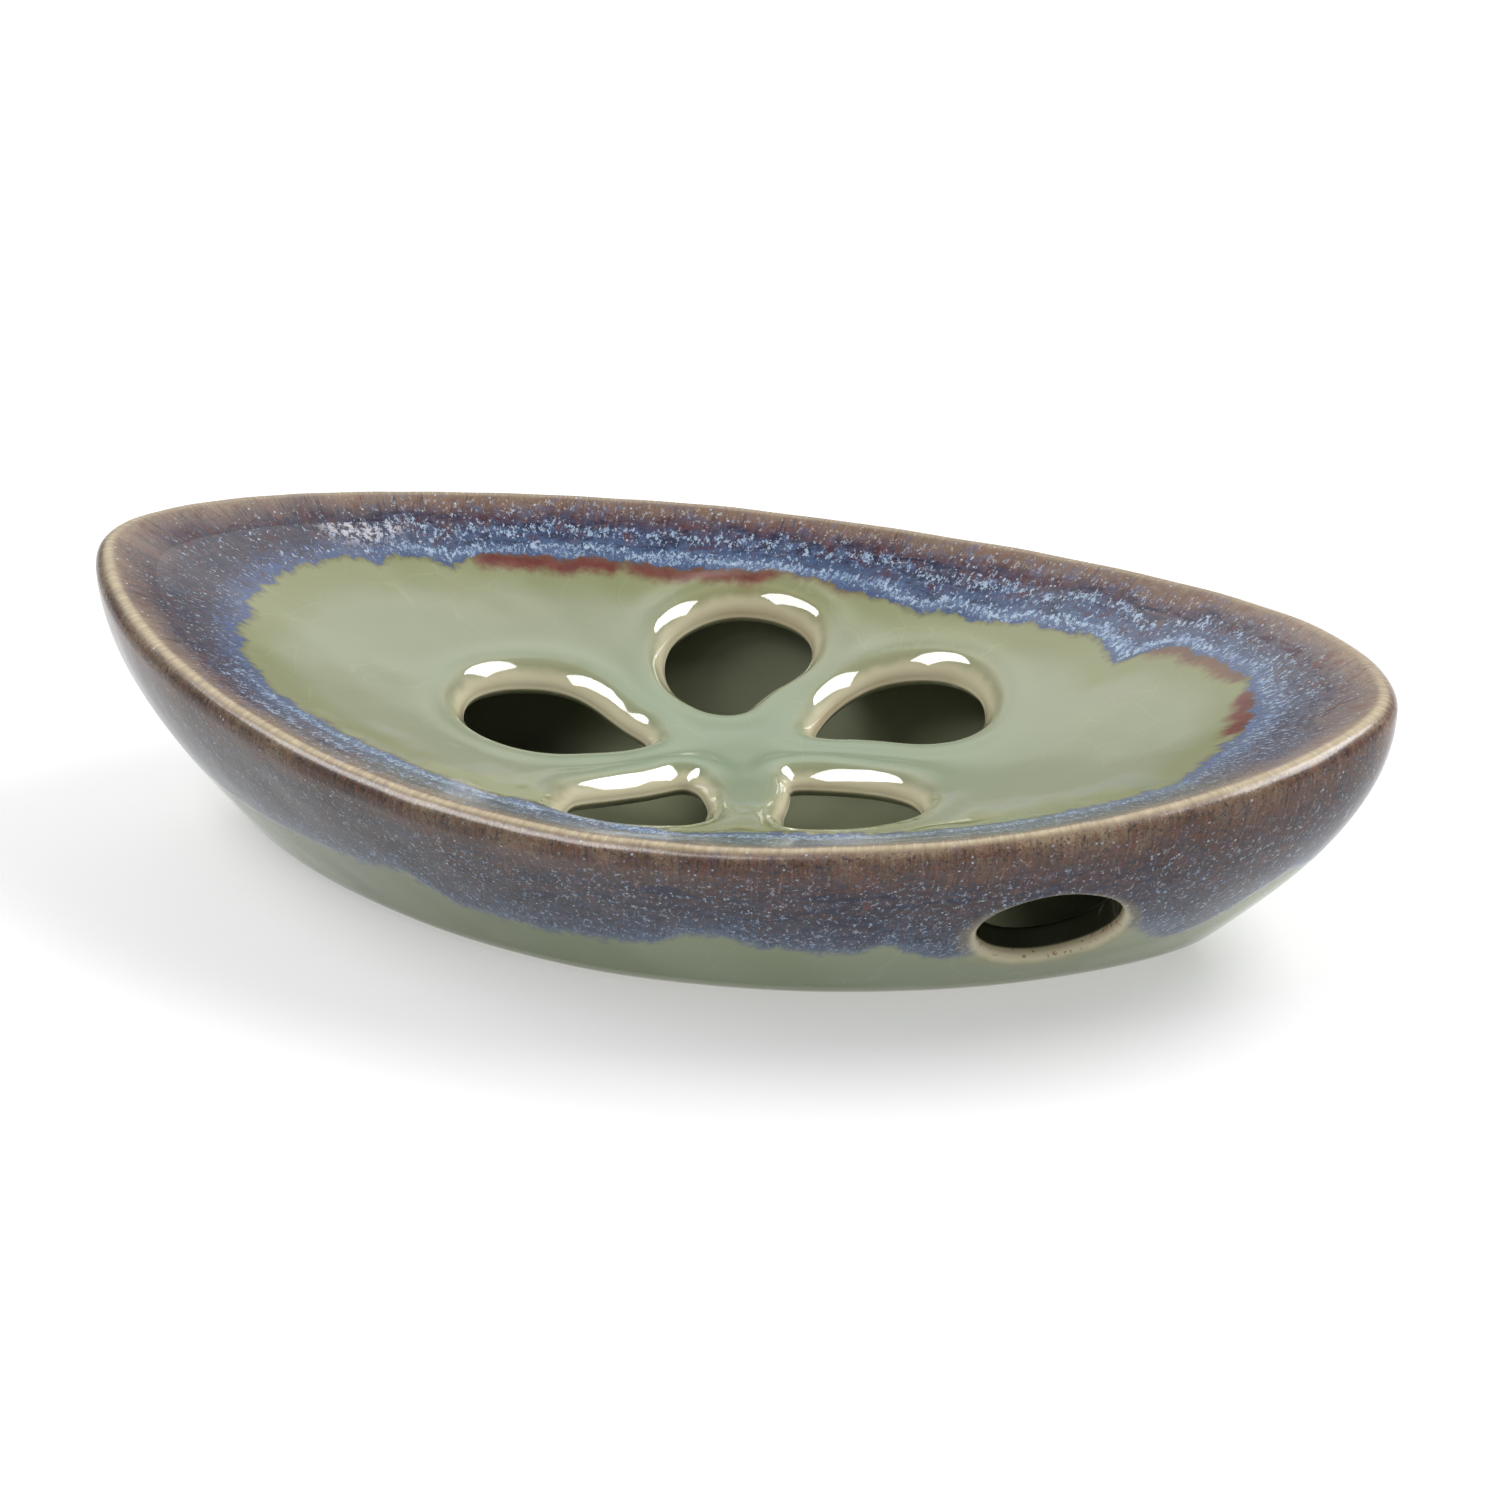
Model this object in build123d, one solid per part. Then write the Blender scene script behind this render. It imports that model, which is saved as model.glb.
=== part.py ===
from build123d import *
import os
import math

# Almond-shaped stoneware flower frog: a hollow dish whose concave, pierced top
# holds stems over a shallow water chamber.  Millimetres, +Z up, origin at the
# middle of the flat foot, +X towards the end that has the side hole.

# ---------------------------------------------------------------- dimensions
DECK_EDGE_HALF_LENGTH = 76.5     # top surface, hub to the start of the rim roll, along X
DECK_EDGE_HALF_WIDTH = 44.2      # the same along Y
DECK_EDGE_Z = 26.83              # height of the roll's start at mid length
SHEER = 7.08                     # extra height of the rim at the two ends
SHEER_POWER = 2.0
OUTLINE_POWER = 2.0              # |x/L|^a in the almond outline
OUTLINE_SHARP_RIGHT = 0.600      # exponent of the +X half (0.5 is an ellipse)
OUTLINE_SHARP_LEFT = 0.655       # exponent of the -X half
HUB_Z = 16.5                     # top surface at the flower's hub
RIM_RADIUS = 1.8                 # radius of the rounded rim crest

FOOT_HALF_LENGTH = 58.8          # flat foot
FOOT_HALF_WIDTH = 28.7
FOOT_SHIFT_X = -2.65
FOOT_POWER = 1.93
FOOT_SHARP = 0.78
FOOT_ROUND = 1.8                 # rounding between foot and wall
WALL_BULGE_SIDE = 1.0            # 1 is a straight wall
WALL_BULGE_END = 1.56            # more than 1 swells outward like a hull

FLOOR_THICKNESS = 4.0
DECK_THICKNESS = 3.5             # measured straight down
JOINT_INSET_SIDE = 4.0           # from the start of the rim roll in to the joint
JOINT_INSET_END = 5.0
CHAMBER_INSET_SIDE = 2.1         # from the foot's outline in to the chamber floor's
CHAMBER_INSET_END = 1.3
SLIP_THICKNESS = 0.8             # slip between the deck's edge and the wall

# the five petal openings: points round the edge of each, in plan, joined by a
# smooth closed curve; all five point at the middle of the dish
PETALS = {
    "back": [
        (-14.13, 17.44), (-12.60, 14.83), (-10.58, 12.58), (-8.04, 10.95), (-5.22, 9.92),
        (-2.73, 10.67), (-1.70, 13.37), (-0.77, 16.25), (0.80, 18.84), (1.99, 21.58),
        (2.12, 24.56), (1.23, 27.39), (-0.81, 29.49), (-3.61, 30.53), (-6.62, 30.68),
        (-9.55, 30.01), (-12.11, 28.45), (-13.98, 26.12), (-15.03, 23.30), (-14.99, 20.33)],
    "left": [
        (-32.30, -3.03), (-30.55, -5.74), (-28.22, -7.96), (-25.36, -9.41), (-22.23, -9.61),
        (-19.30, -8.36), (-16.64, -6.48), (-14.10, -4.43), (-11.80, -2.15), (-10.34, 0.49),
        (-11.64, 2.80), (-14.37, 4.47), (-17.05, 6.30), (-19.74, 8.09), (-22.76, 9.21),
        (-25.91, 9.11), (-28.87, 7.85), (-31.37, 5.83), (-33.07, 3.15), (-33.21, 0.04)],
    "right": [
        (7.91, 7.80), (10.61, 7.47), (13.65, 7.89), (16.73, 7.91), (19.80, 7.61),
        (22.86, 7.65), (25.61, 8.69), (27.00, 11.20), (26.91, 14.22), (26.12, 17.17),
        (24.65, 19.83), (22.40, 21.89), (19.67, 23.22), (16.66, 23.58), (13.68, 22.95),
        (11.05, 21.44), (9.08, 19.15), (7.87, 16.35), (7.23, 13.34), (7.10, 10.28)],
    "front_left": [
        (-11.98, -25.88), (-10.85, -28.61), (-8.30, -30.41), (-5.21, -30.95), (-2.11, -30.23),
        (0.60, -28.51), (2.67, -26.08), (3.63, -23.09), (3.28, -19.92), (2.56, -16.74),
        (1.79, -13.58), (0.39, -10.71), (-1.44, -8.19), (-3.31, -7.37), (-5.08, -9.14),
        (-6.96, -11.75), (-9.04, -14.27), (-11.07, -16.81), (-12.52, -19.56), (-12.35, -22.69)],
    "front_right": [
        (8.59, -3.91), (9.30, -6.52), (10.05, -9.66), (10.65, -12.83), (11.55, -15.94),
        (12.68, -18.94), (14.50, -21.56), (17.04, -23.14), (20.18, -23.25), (23.08, -22.04),
        (25.27, -19.75), (26.50, -16.81), (26.96, -13.66), (26.59, -10.49), (25.36, -7.54),
        (23.25, -5.24), (20.36, -3.88), (17.21, -3.17), (13.99, -2.92), (10.77, -3.05)],
}
PETAL_LIP = 1.4                  # rounding of the petals' upper edge
PETAL_UNDER_LIP = 0.8            # rounding of their lower edge

SIDE_HOLE_CENTRE = (46.1, -25.3, 14.0)    # on the outer wall
SIDE_HOLE_AXIS = (0.40, -0.67, -0.63)     # outward
SIDE_HOLE_DIAMETER = 16.4
SIDE_HOLE_LIP = 1.2

POINTS = 48                      # points on each almond section


# ------------------------------------------------------------------ outlines
def almond(half_length, half_width, power, sharp_left, sharp_right, angle, shift=0.0):
    x = -half_length * math.cos(angle)
    sharp = sharp_left if x < 0 else sharp_right
    base = max(0.0, 1.0 - abs(x / half_length) ** power)
    y = half_width * base ** sharp
    if math.sin(angle) < 0:
        y = -y
    return x + shift, y


ANGLES = [2 * math.pi * (i + 0.5) / POINTS for i in range(POINTS)]


def deck_outline(angle, grow=0.0):
    return almond(DECK_EDGE_HALF_LENGTH + grow, DECK_EDGE_HALF_WIDTH + grow,
                  OUTLINE_POWER, OUTLINE_SHARP_LEFT, OUTLINE_SHARP_RIGHT, angle)


def foot_outline(angle, inset_end=0.0, inset_side=0.0):
    return almond(FOOT_HALF_LENGTH - inset_end, FOOT_HALF_WIDTH - inset_side,
                  FOOT_POWER, FOOT_SHARP, FOOT_SHARP, angle, FOOT_SHIFT_X)


def edge_height(angle):
    return DECK_EDGE_Z + SHEER * abs(math.cos(angle)) ** SHEER_POWER


def outward(angle):
    # level outward direction of the deck outline
    d = 1e-3
    x0, y0 = deck_outline(angle - d)
    x1, y1 = deck_outline(angle + d)
    tx, ty = x1 - x0, y1 - y0
    n = math.hypot(tx, ty)
    nx, ny = -ty / n, tx / n
    x, y = deck_outline(angle)
    if nx * x + ny * y < 0:
        nx, ny = -nx, -ny
    return nx, ny


def deck_slope(angle):
    # slope of the concave top where it meets the rim roll
    x, y = deck_outline(angle)
    nx, ny = outward(angle)
    return math.atan(2 * (edge_height(angle) - HUB_Z) * (x * nx + y * ny) / (x * x + y * y))


def rim_point(angle, phi):
    # point on the rim roll, phi measured from straight up towards the outside
    x, y = deck_outline(angle)
    nx, ny = outward(angle)
    s = deck_slope(angle)
    out = RIM_RADIUS * math.sin(s) + RIM_RADIUS * math.sin(phi)
    up = -RIM_RADIUS * math.cos(s) + RIM_RADIUS * math.cos(phi)
    return x + nx * out, y + ny * out, edge_height(angle) + up


def endness(angle):
    return math.cos(angle) ** 2


def wall_angle(angle):
    # phi at which the roll runs into the wall
    return math.radians(90 + 35.5 * (1 - endness(angle)))


def wall_blend(v, angle):
    e = endness(angle)
    p = WALL_BULGE_SIDE * (1 - e) + WALL_BULGE_END * e
    if v <= 1:
        return 1 - (1 - v) ** p
    return 1 + (1 - e) * (v - 1)


def wall_point(angle, v):
    rx, ry, rz = rim_point(angle, wall_angle(angle))
    fx, fy = foot_outline(angle)
    g = wall_blend(v, angle)
    return fx + (rx - fx) * g, fy + (ry - fy) * g, rz * v


def deck_point(angle, r):
    x, y = deck_outline(angle)
    return x * r, y * r, HUB_Z + (edge_height(angle) - HUB_Z) * r * r


def top_z(x, y):
    # height of the concave top over the whole plan, found along the ray to the rim
    if abs(x) < 1e-6 and abs(y) < 1e-6:
        return HUB_Z
    sharp = OUTLINE_SHARP_LEFT if x < 0 else OUTLINE_SHARP_RIGHT
    lo, hi = 1e-4, 4.0
    for _ in range(50):
        mid = 0.5 * (lo + hi)
        s = (abs(x) / (mid * DECK_EDGE_HALF_LENGTH)) ** OUTLINE_POWER \
            + (abs(y) / (mid * DECK_EDGE_HALF_WIDTH)) ** (1 / sharp)
        if s < 1:
            hi = mid
        else:
            lo = mid
    r = 0.5 * (lo + hi)
    xe = min(1.0, abs(x / r) / DECK_EDGE_HALF_LENGTH)
    return HUB_Z + (DECK_EDGE_Z + SHEER * xe ** SHEER_POWER - HUB_Z) * r * r


def joint_outline(angle, extra=0.0):
    # where the inside of the wall meets the concave top, extra moves it further in
    return almond(DECK_EDGE_HALF_LENGTH - JOINT_INSET_END - extra,
                  DECK_EDGE_HALF_WIDTH - JOINT_INSET_SIDE - extra,
                  OUTLINE_POWER, OUTLINE_SHARP_LEFT, OUTLINE_SHARP_RIGHT, angle)


def inner_point(angle, v, extra=0.0):
    # inside of the wall, v = 0 at the floor and 1 at the concave top
    jx, jy = joint_outline(angle, extra)
    jz = top_z(jx, jy)
    fx, fy = foot_outline(angle, CHAMBER_INSET_END + extra, CHAMBER_INSET_SIDE + extra)
    g = wall_blend(v, angle)
    return fx + (jx - fx) * g, fy + (jy - fy) * g, FLOOR_THICKNESS + (jz - FLOOR_THICKNESS) * v


def underside_v(angle, extra=0.0):
    # v at which the inside of the wall meets the underside of the plate
    lo, hi = 0.3, 1.0
    for _ in range(40):
        mid = 0.5 * (lo + hi)
        x, y, z = inner_point(angle, mid, extra)
        if z > top_z(x, y) - DECK_THICKNESS:
            hi = mid
        else:
            lo = mid
    return 0.5 * (lo + hi)


def ring(points):
    return Wire([Edge.make_spline([Vector(*p) for p in points], periodic=True)])


def skin(wires, ruled=False):
    return list(Shell.make_loft(wires, ruled).faces())


def solid_of(faces):
    return Solid(Shell(faces))


# ------------------------------------------------------ rings that are shared
joint_top = ring([inner_point(a, 1.0) for a in ANGLES])
joint_low = ring([inner_point(a, underside_v(a)) for a in ANGLES])
plate_top = ring([inner_point(a, 1.0, SLIP_THICKNESS) for a in ANGLES])
plate_low_points = [inner_point(a, underside_v(a, SLIP_THICKNESS), SLIP_THICKNESS) for a in ANGLES]
plate_low = ring(plate_low_points)
floor_ring = ring([inner_point(a, 0.0) for a in ANGLES])

# --------------------------------------------------- bowl: wall, rim and floor
sections = []
for zf, inset in ((0.0, 1.0), (0.12, 0.5), (0.45, 0.12), (1.0, 0.0)):
    z = FOOT_ROUND * zf
    pts = []
    for a in ANGLES:
        rz = rim_point(a, wall_angle(a))[2]
        x, y, _ = wall_point(a, z / rz)
        fx, fy = foot_outline(a)
        gx, gy = foot_outline(a, FOOT_ROUND * inset, FOOT_ROUND * inset)
        pts.append((x - (fx - gx), y - (fy - gy), z))
    sections.append(ring(pts))
foot_ring = sections[0]
for v in (0.2, 0.36, 0.52, 0.68, 0.82, 0.92, 1.0):
    sections.append(ring([wall_point(a, v) for a in ANGLES]))
for f in (0.25, 0.5, 0.75, 1.0):
    sections.append(ring([rim_point(a, wall_angle(a) * (1 - f) - deck_slope(a) * f)
                          for a in ANGLES]))
for f in (0.3, 0.65):
    pts = []
    for a in ANGLES:
        x0, y0 = deck_outline(a)
        x1, y1 = joint_outline(a)
        x, y = x0 + (x1 - x0) * f, y0 + (y1 - y0) * f
        pts.append((x, y, top_z(x, y)))
    sections.append(ring(pts))
sections.append(joint_top)

outer_skin = skin(sections)
joint_skin = skin([joint_top, joint_low], ruled=True)
inner_skin = skin([joint_low] + [ring([inner_point(a, underside_v(a) * k) for a in ANGLES])
                                 for k in (0.75, 0.5, 0.25)] + [floor_ring])
bowl = solid_of(outer_skin + joint_skin + inner_skin + [Face(foot_ring), Face(floor_ring)])

# ------------------------------------------------------- plate with its petals
def plate_rings(points, drop):
    rings = []
    for k in (0.92, 0.8, 0.66, 0.52, 0.38, 0.25, 0.14, 0.06):
        pts = []
        for x, y, _ in points:
            pts.append((x * k, y * k, top_z(x * k, y * k) - drop))
        if k == 0.06:
            z = sum(p[2] for p in pts) / len(pts)
            pts = [(x, y, z) for x, y, _ in pts]
        rings.append(ring(pts))
    return rings


plate_top_points = [inner_point(a, 1.0, SLIP_THICKNESS) for a in ANGLES]
top_rings = plate_rings(plate_top_points, 0.0)
low_rings = plate_rings(plate_low_points, DECK_THICKNESS)
plate_side = skin([plate_top, plate_low], ruled=True)
deck = solid_of(skin([plate_top] + top_rings) + plate_side + skin([plate_low] + low_rings)
                + [Face(top_rings[-1]), Face(low_rings[-1])])

# ----------------------------------------------------------------- slip seam
seam = solid_of(joint_skin + plate_side + skin([joint_top, plate_top], ruled=True)
                + skin([joint_low, plate_low], ruled=True))


def petal_outline(points):
    return [(x, y, 8.0) for x, y in points]


for name, points in PETALS.items():
    deck = deck - Solid.extrude(Face(ring(petal_outline(points))), Vector(0, 0, 24))


def single(shape):
    solids = shape.solids()
    return max(solids, key=lambda s: s.volume)


deck = single(deck)
bowl = single(bowl)

# rounded petal lips
def petal_edges(solid, top):
    found = []
    for e in solid.edges():
        c = e.center(CenterOf.BOUNDING_BOX)
        for points in PETALS.values():
            mx = sum(p[0] for p in points) / len(points)
            my = sum(p[1] for p in points) / len(points)
            if math.hypot(c.X - mx, c.Y - my) < 6 and e.length > 25:
                z = top_z(c.X, c.Y)
                high = c.Z > z - 0.5 * DECK_THICKNESS
                if high == top:
                    found.append(e)
    return found


for top, radius in ((True, PETAL_LIP), (False, PETAL_UNDER_LIP)):
    edges = petal_edges(deck, top)
    print("petal edges", "upper" if top else "lower", len(edges))
    try:
        rounded = deck.fillet(radius, edges)
        if rounded.is_valid and rounded.volume > 0:
            deck = single(rounded)
    except Exception as err:
        print("lip rounding skipped", top, err)

# --------------------------------------------------------------- side hole
axis = Vector(*SIDE_HOLE_AXIS).normalized()
centre = Vector(*SIDE_HOLE_CENTRE)
drill = Solid.make_cylinder(SIDE_HOLE_DIAMETER / 2, 18.0,
                            Plane(origin=centre - axis * 9.5, z_dir=axis))
bowl = single(bowl - drill)
lip_edges = [e for e in bowl.edges()
             if (e.center(CenterOf.BOUNDING_BOX) - centre).length < 9 and 30 < e.length < 80]
print("side hole edges", [round(e.length, 1) for e in lip_edges])
try:
    rounded = bowl.fillet(SIDE_HOLE_LIP, lip_edges)
    if rounded.is_valid:
        bowl = single(rounded)
except Exception as err:
    print("side hole rounding skipped", err)

# -------------------------------------------------------------------- output
os.makedirs("parts", exist_ok=True)
for name, shape in (("lower_bowl", bowl), ("pierced_deck", deck), ("slip_seam", seam)):
    shape.label = name
    bb = shape.bounding_box()
    print(name, "valid", shape.is_valid, "volume", round(shape.volume, 1),
          "min", tuple(round(v, 2) for v in bb.min), "max", tuple(round(v, 2) for v in bb.max))
    export_step(shape, f"parts/{name}.step")
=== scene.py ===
import math

import bpy
import numpy as np
from mathutils import Matrix, Vector
from mathutils.geometry import delaunay_2d_cdt


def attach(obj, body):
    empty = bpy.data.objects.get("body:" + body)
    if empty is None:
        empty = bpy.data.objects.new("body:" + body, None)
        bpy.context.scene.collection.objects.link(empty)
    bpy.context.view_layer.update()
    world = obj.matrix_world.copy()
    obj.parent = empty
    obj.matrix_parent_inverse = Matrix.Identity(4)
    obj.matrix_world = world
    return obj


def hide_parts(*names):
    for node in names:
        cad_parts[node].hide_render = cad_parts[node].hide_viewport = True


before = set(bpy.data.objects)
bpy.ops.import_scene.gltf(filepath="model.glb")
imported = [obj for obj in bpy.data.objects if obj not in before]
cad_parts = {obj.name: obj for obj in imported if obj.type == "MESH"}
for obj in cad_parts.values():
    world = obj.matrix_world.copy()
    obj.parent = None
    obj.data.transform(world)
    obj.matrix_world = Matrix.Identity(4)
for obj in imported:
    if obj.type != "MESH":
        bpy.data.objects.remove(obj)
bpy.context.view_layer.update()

# ------------------------------------------------------------------ the form
# Everything is worked out in millimetres and written in metres.
EDGE_L, EDGE_W = 76.5, 44.2
EDGE_Z, SHEER = 26.83, 7.08
SHARP_R, SHARP_L = 0.600, 0.655
HUB_Z = 16.5
ROLL = 1.8
FOOT_L, FOOT_W, FOOT_DX = 58.8, 28.7, -2.65
FOOT_POWER, FOOT_SHARP, FOOT_ROUND = 1.93, 0.78, 2.2
BULGE_SIDE, BULGE_END = 1.0, 1.56
FLOOR = 4.0
PLATE = 3.5
SLIP = 0.8
JOINT_END, JOINT_SIDE = 5.0, 4.0
CHAMBER_END, CHAMBER_SIDE = 1.3, 2.1
PETALS = [
    np.array([
        (-14.13, 17.44), (-12.60, 14.83), (-10.58, 12.58), (-8.04, 10.95), (-5.22, 9.92),
        (-2.73, 10.67), (-1.70, 13.37), (-0.77, 16.25), (0.80, 18.84), (1.99, 21.58),
        (2.12, 24.56), (1.23, 27.39), (-0.81, 29.49), (-3.61, 30.53), (-6.62, 30.68),
        (-9.55, 30.01), (-12.11, 28.45), (-13.98, 26.12), (-15.03, 23.30), (-14.99, 20.33)]),
    np.array([
        (-32.30, -3.03), (-30.55, -5.74), (-28.22, -7.96), (-25.36, -9.41), (-22.23, -9.61),
        (-19.30, -8.36), (-16.64, -6.48), (-14.10, -4.43), (-11.80, -2.15), (-10.34, 0.49),
        (-11.64, 2.80), (-14.37, 4.47), (-17.05, 6.30), (-19.74, 8.09), (-22.76, 9.21),
        (-25.91, 9.11), (-28.87, 7.85), (-31.37, 5.83), (-33.07, 3.15), (-33.21, 0.04)]),
    np.array([
        (7.91, 7.80), (10.61, 7.47), (13.65, 7.89), (16.73, 7.91), (19.80, 7.61),
        (22.86, 7.65), (25.61, 8.69), (27.00, 11.20), (26.91, 14.22), (26.12, 17.17),
        (24.65, 19.83), (22.40, 21.89), (19.67, 23.22), (16.66, 23.58), (13.68, 22.95),
        (11.05, 21.44), (9.08, 19.15), (7.87, 16.35), (7.23, 13.34), (7.10, 10.28)]),
    np.array([
        (-11.98, -25.88), (-10.85, -28.61), (-8.30, -30.41), (-5.21, -30.95), (-2.11, -30.23),
        (0.60, -28.51), (2.67, -26.08), (3.63, -23.09), (3.28, -19.92), (2.56, -16.74),
        (1.79, -13.58), (0.39, -10.71), (-1.44, -8.19), (-3.31, -7.37), (-5.08, -9.14),
        (-6.96, -11.75), (-9.04, -14.27), (-11.07, -16.81), (-12.52, -19.56), (-12.35, -22.69)]),
    np.array([
        (8.59, -3.91), (9.30, -6.52), (10.05, -9.66), (10.65, -12.83), (11.55, -15.94),
        (12.68, -18.94), (14.50, -21.56), (17.04, -23.14), (20.18, -23.25), (23.08, -22.04),
        (25.27, -19.75), (26.50, -16.81), (26.96, -13.66), (26.59, -10.49), (25.36, -7.54),
        (23.25, -5.24), (20.36, -3.88), (17.21, -3.17), (13.99, -2.92), (10.77, -3.05)]),
]
HOLE_C = np.array([46.1, -25.3, 14.0])
HOLE_A = np.array([0.40, -0.67, -0.63])
HOLE_A = HOLE_A / np.linalg.norm(HOLE_A)
HOLE_R = 8.2

COLS = 660


def smooth_ring(a, sigma):
    """A closed row of values, blurred by sigma places."""
    n = len(a)
    k = np.minimum(np.arange(n), n - np.arange(n))
    g = np.exp(-0.5 * (k / sigma) ** 2)
    g /= g.sum()
    return np.real(np.fft.ifft(np.fft.fft(a) * np.fft.fft(g)))


def sharp_at(x):
    return 0.5 * (SHARP_L + SHARP_R) - 0.5 * (SHARP_L - SHARP_R) * np.tanh(x / 16.0)


def almond(hl, hw, t, power=2.0, sharp=None, dx=0.0):
    x = -hl * np.cos(t)
    s = sharp_at(x) if sharp is None else sharp
    y = hw * np.clip(1 - np.abs(x / hl) ** power, 0, None) ** s * np.where(np.sin(t) >= 0, 1, -1)
    return x + dx, y


# evenly spaced columns round the rim, from the left end along the far side
_t = np.linspace(0, 2 * np.pi, 20001)
_x, _y = almond(EDGE_L + 1.5, EDGE_W + 1.5, _t)
_s = np.concatenate([[0], np.cumsum(np.hypot(np.diff(_x), np.diff(_y)))])
T = np.interp((np.arange(COLS) + 0.5) / COLS * _s[-1], _s, _t)
E = np.cos(T) ** 2
SIG = 4.0


def ring2(hl, hw, **k):
    x, y = almond(hl, hw, T, **k)
    return smooth_ring(x, SIG), smooth_ring(y, SIG)


def level(x, y):
    """How far out a plan point lies: 0 at the middle, 1 at the start of the rim roll."""
    x = np.asarray(x, float)
    y = np.sqrt(np.asarray(y, float) ** 2 + 1.5 ** 2)
    s = sharp_at(x)
    lo = np.full(x.shape, 1e-4)
    hi = np.full(x.shape, 4.0)
    for _ in range(46):
        mid = 0.5 * (lo + hi)
        v = (np.abs(x) / (mid * EDGE_L)) ** 2 + (y / (mid * EDGE_W)) ** (1 / s)
        hi = np.where(v < 1, mid, hi)
        lo = np.where(v < 1, lo, mid)
    return 0.5 * (lo + hi)


def top_z(x, y):
    """Height of the concave top."""
    r = level(x, y)
    return HUB_Z + (EDGE_Z - HUB_Z) * r * r + SHEER * (np.asarray(x) / EDGE_L) ** 2


EX, EY = ring2(EDGE_L, EDGE_W)
EZ = top_z(EX, EY)
_dx = np.roll(EX, -1) - np.roll(EX, 1)
_dy = np.roll(EY, -1) - np.roll(EY, 1)
_n = np.hypot(_dx, _dy)
NX, NY = smooth_ring(-_dy / _n, 2.0), smooth_ring(_dx / _n, 2.0)
_n = np.hypot(NX, NY)
NX, NY = NX / _n, NY / _n
SLOPE = smooth_ring(np.arctan(EZ - top_z(EX - NX, EY - NY)), 4.0)
PHI_WALL = np.radians(90 + 35.5 * (1 - E))


def roll_point(phi):
    out = ROLL * (np.sin(SLOPE) + np.sin(phi))
    up = ROLL * (np.cos(phi) - np.cos(SLOPE))
    return np.stack([EX + NX * out, EY + NY * out, EZ + up], -1)


RX, RY, RZ = roll_point(PHI_WALL).T
FX, FY = ring2(FOOT_L, FOOT_W, power=FOOT_POWER, sharp=FOOT_SHARP, dx=FOOT_DX)
M0 = BULGE_SIDE * (1 - E) + BULGE_END * E
M1 = np.clip(np.tan(PHI_WALL - np.pi / 2) * RZ / np.hypot(RX - FX, RY - FY), 0, 1.3)


def blend_g(v):
    return (v ** 3 - 2 * v ** 2 + v) * M0 + (3 * v ** 2 - 2 * v ** 3) + (v ** 3 - v ** 2) * M1


def wall_ring(v):
    g = blend_g(v)
    return np.stack([FX + (RX - FX) * g, FY + (RY - FY) * g, RZ * v], -1)


def joint_ring2(extra=0.0):
    return ring2(EDGE_L - JOINT_END - extra, EDGE_W - JOINT_SIDE - extra)


def inner_ring(v, extra=0.0):
    jx, jy = joint_ring2(extra)
    jz = top_z(jx, jy)
    fx, fy = ring2(FOOT_L - CHAMBER_END - extra, FOOT_W - CHAMBER_SIDE - extra,
                   power=FOOT_POWER, sharp=FOOT_SHARP, dx=FOOT_DX)
    g = blend_g(v)
    return np.stack([fx + (jx - fx) * g, fy + (jy - fy) * g, FLOOR + (jz - FLOOR) * v], -1)


def wobble(p):
    """The small unevenness of a hand-finished piece: a gentle shift, the same for every piece."""
    x, y, z = p[:, 0], p[:, 1], p[:, 2]
    q = p.copy()
    q[:, 0] += 0.10 * np.sin(0.071 * y + 0.11 * z + 0.6) + 0.05 * np.sin(0.19 * y + 0.05 * x + 2.1)
    q[:, 1] += 0.12 * np.sin(0.062 * x + 1.3) + 0.06 * np.sin(0.151 * x + 0.12 * z + 0.4) \
        + 0.03 * np.sin(0.31 * x + 0.21 * z)
    q[:, 2] += np.clip(z / 14.0, 0, 1) * (0.12 * np.sin(0.083 * x + 0.06 * y + 0.9)
                                          + 0.08 * np.sin(0.125 * y - 0.07 * x + 2.7)
                                          + 0.035 * np.sin(0.33 * x - 0.27 * y + 0.3)
                                          + 0.02 * np.sin(0.52 * x + 0.61 * y + 1.0))
    return q


# ------------------------------------------------------------ glaze measures
CREST = roll_point(np.zeros(COLS))
SEG = np.linalg.norm(np.roll(CREST[:, :2], -1, 0) - CREST[:, :2], axis=1)
U = (np.cumsum(SEG) - SEG) / SEG.sum()

# width of the rim glaze inside the dish, and its depth down the outside, in mm,
# by how far round the rim from the left end (0) past the right end (0.5)
BAND_IN = [(0.0, 14.0), (0.036, 13.0), (0.05, 12.1), (0.061, 11.4), (0.075, 10.3), (0.086, 11.4),
           (0.099, 10.1), (0.116, 11.7), (0.124, 9.9), (0.147, 10.0), (0.167, 10.0), (0.185, 10.1),
           (0.211, 9.8), (0.24, 9.4), (0.262, 10.1), (0.276, 10.8), (0.288, 12.1), (0.299, 11.0),
           (0.313, 11.2), (0.336, 10.6), (0.359, 10.4), (0.368, 12.5), (0.376, 13.5), (0.382, 10.8),
           (0.389, 8.7), (0.408, 9.1), (0.428, 9.4), (0.439, 10.4), (0.453, 11.9), (0.476, 13.4),
           (0.513, 15.0), (0.54, 14.8), (0.555, 14.0), (0.563, 12.3), (0.575, 12.1), (0.603, 13.0),
           (0.629, 13.4), (0.652, 14.1), (0.676, 14.2), (0.692, 14.9), (0.706, 16.4), (0.722, 16.2),
           (0.738, 12.7), (0.76, 12.4), (0.779, 12.7), (0.797, 13.1), (0.824, 11.9), (0.844, 11.8),
           (0.862, 10.6), (0.877, 10.0), (0.894, 9.7), (0.91, 9.8), (0.924, 10.8), (0.942, 12.3),
           (0.96, 13.7), (1.0, 14.0)]
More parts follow.
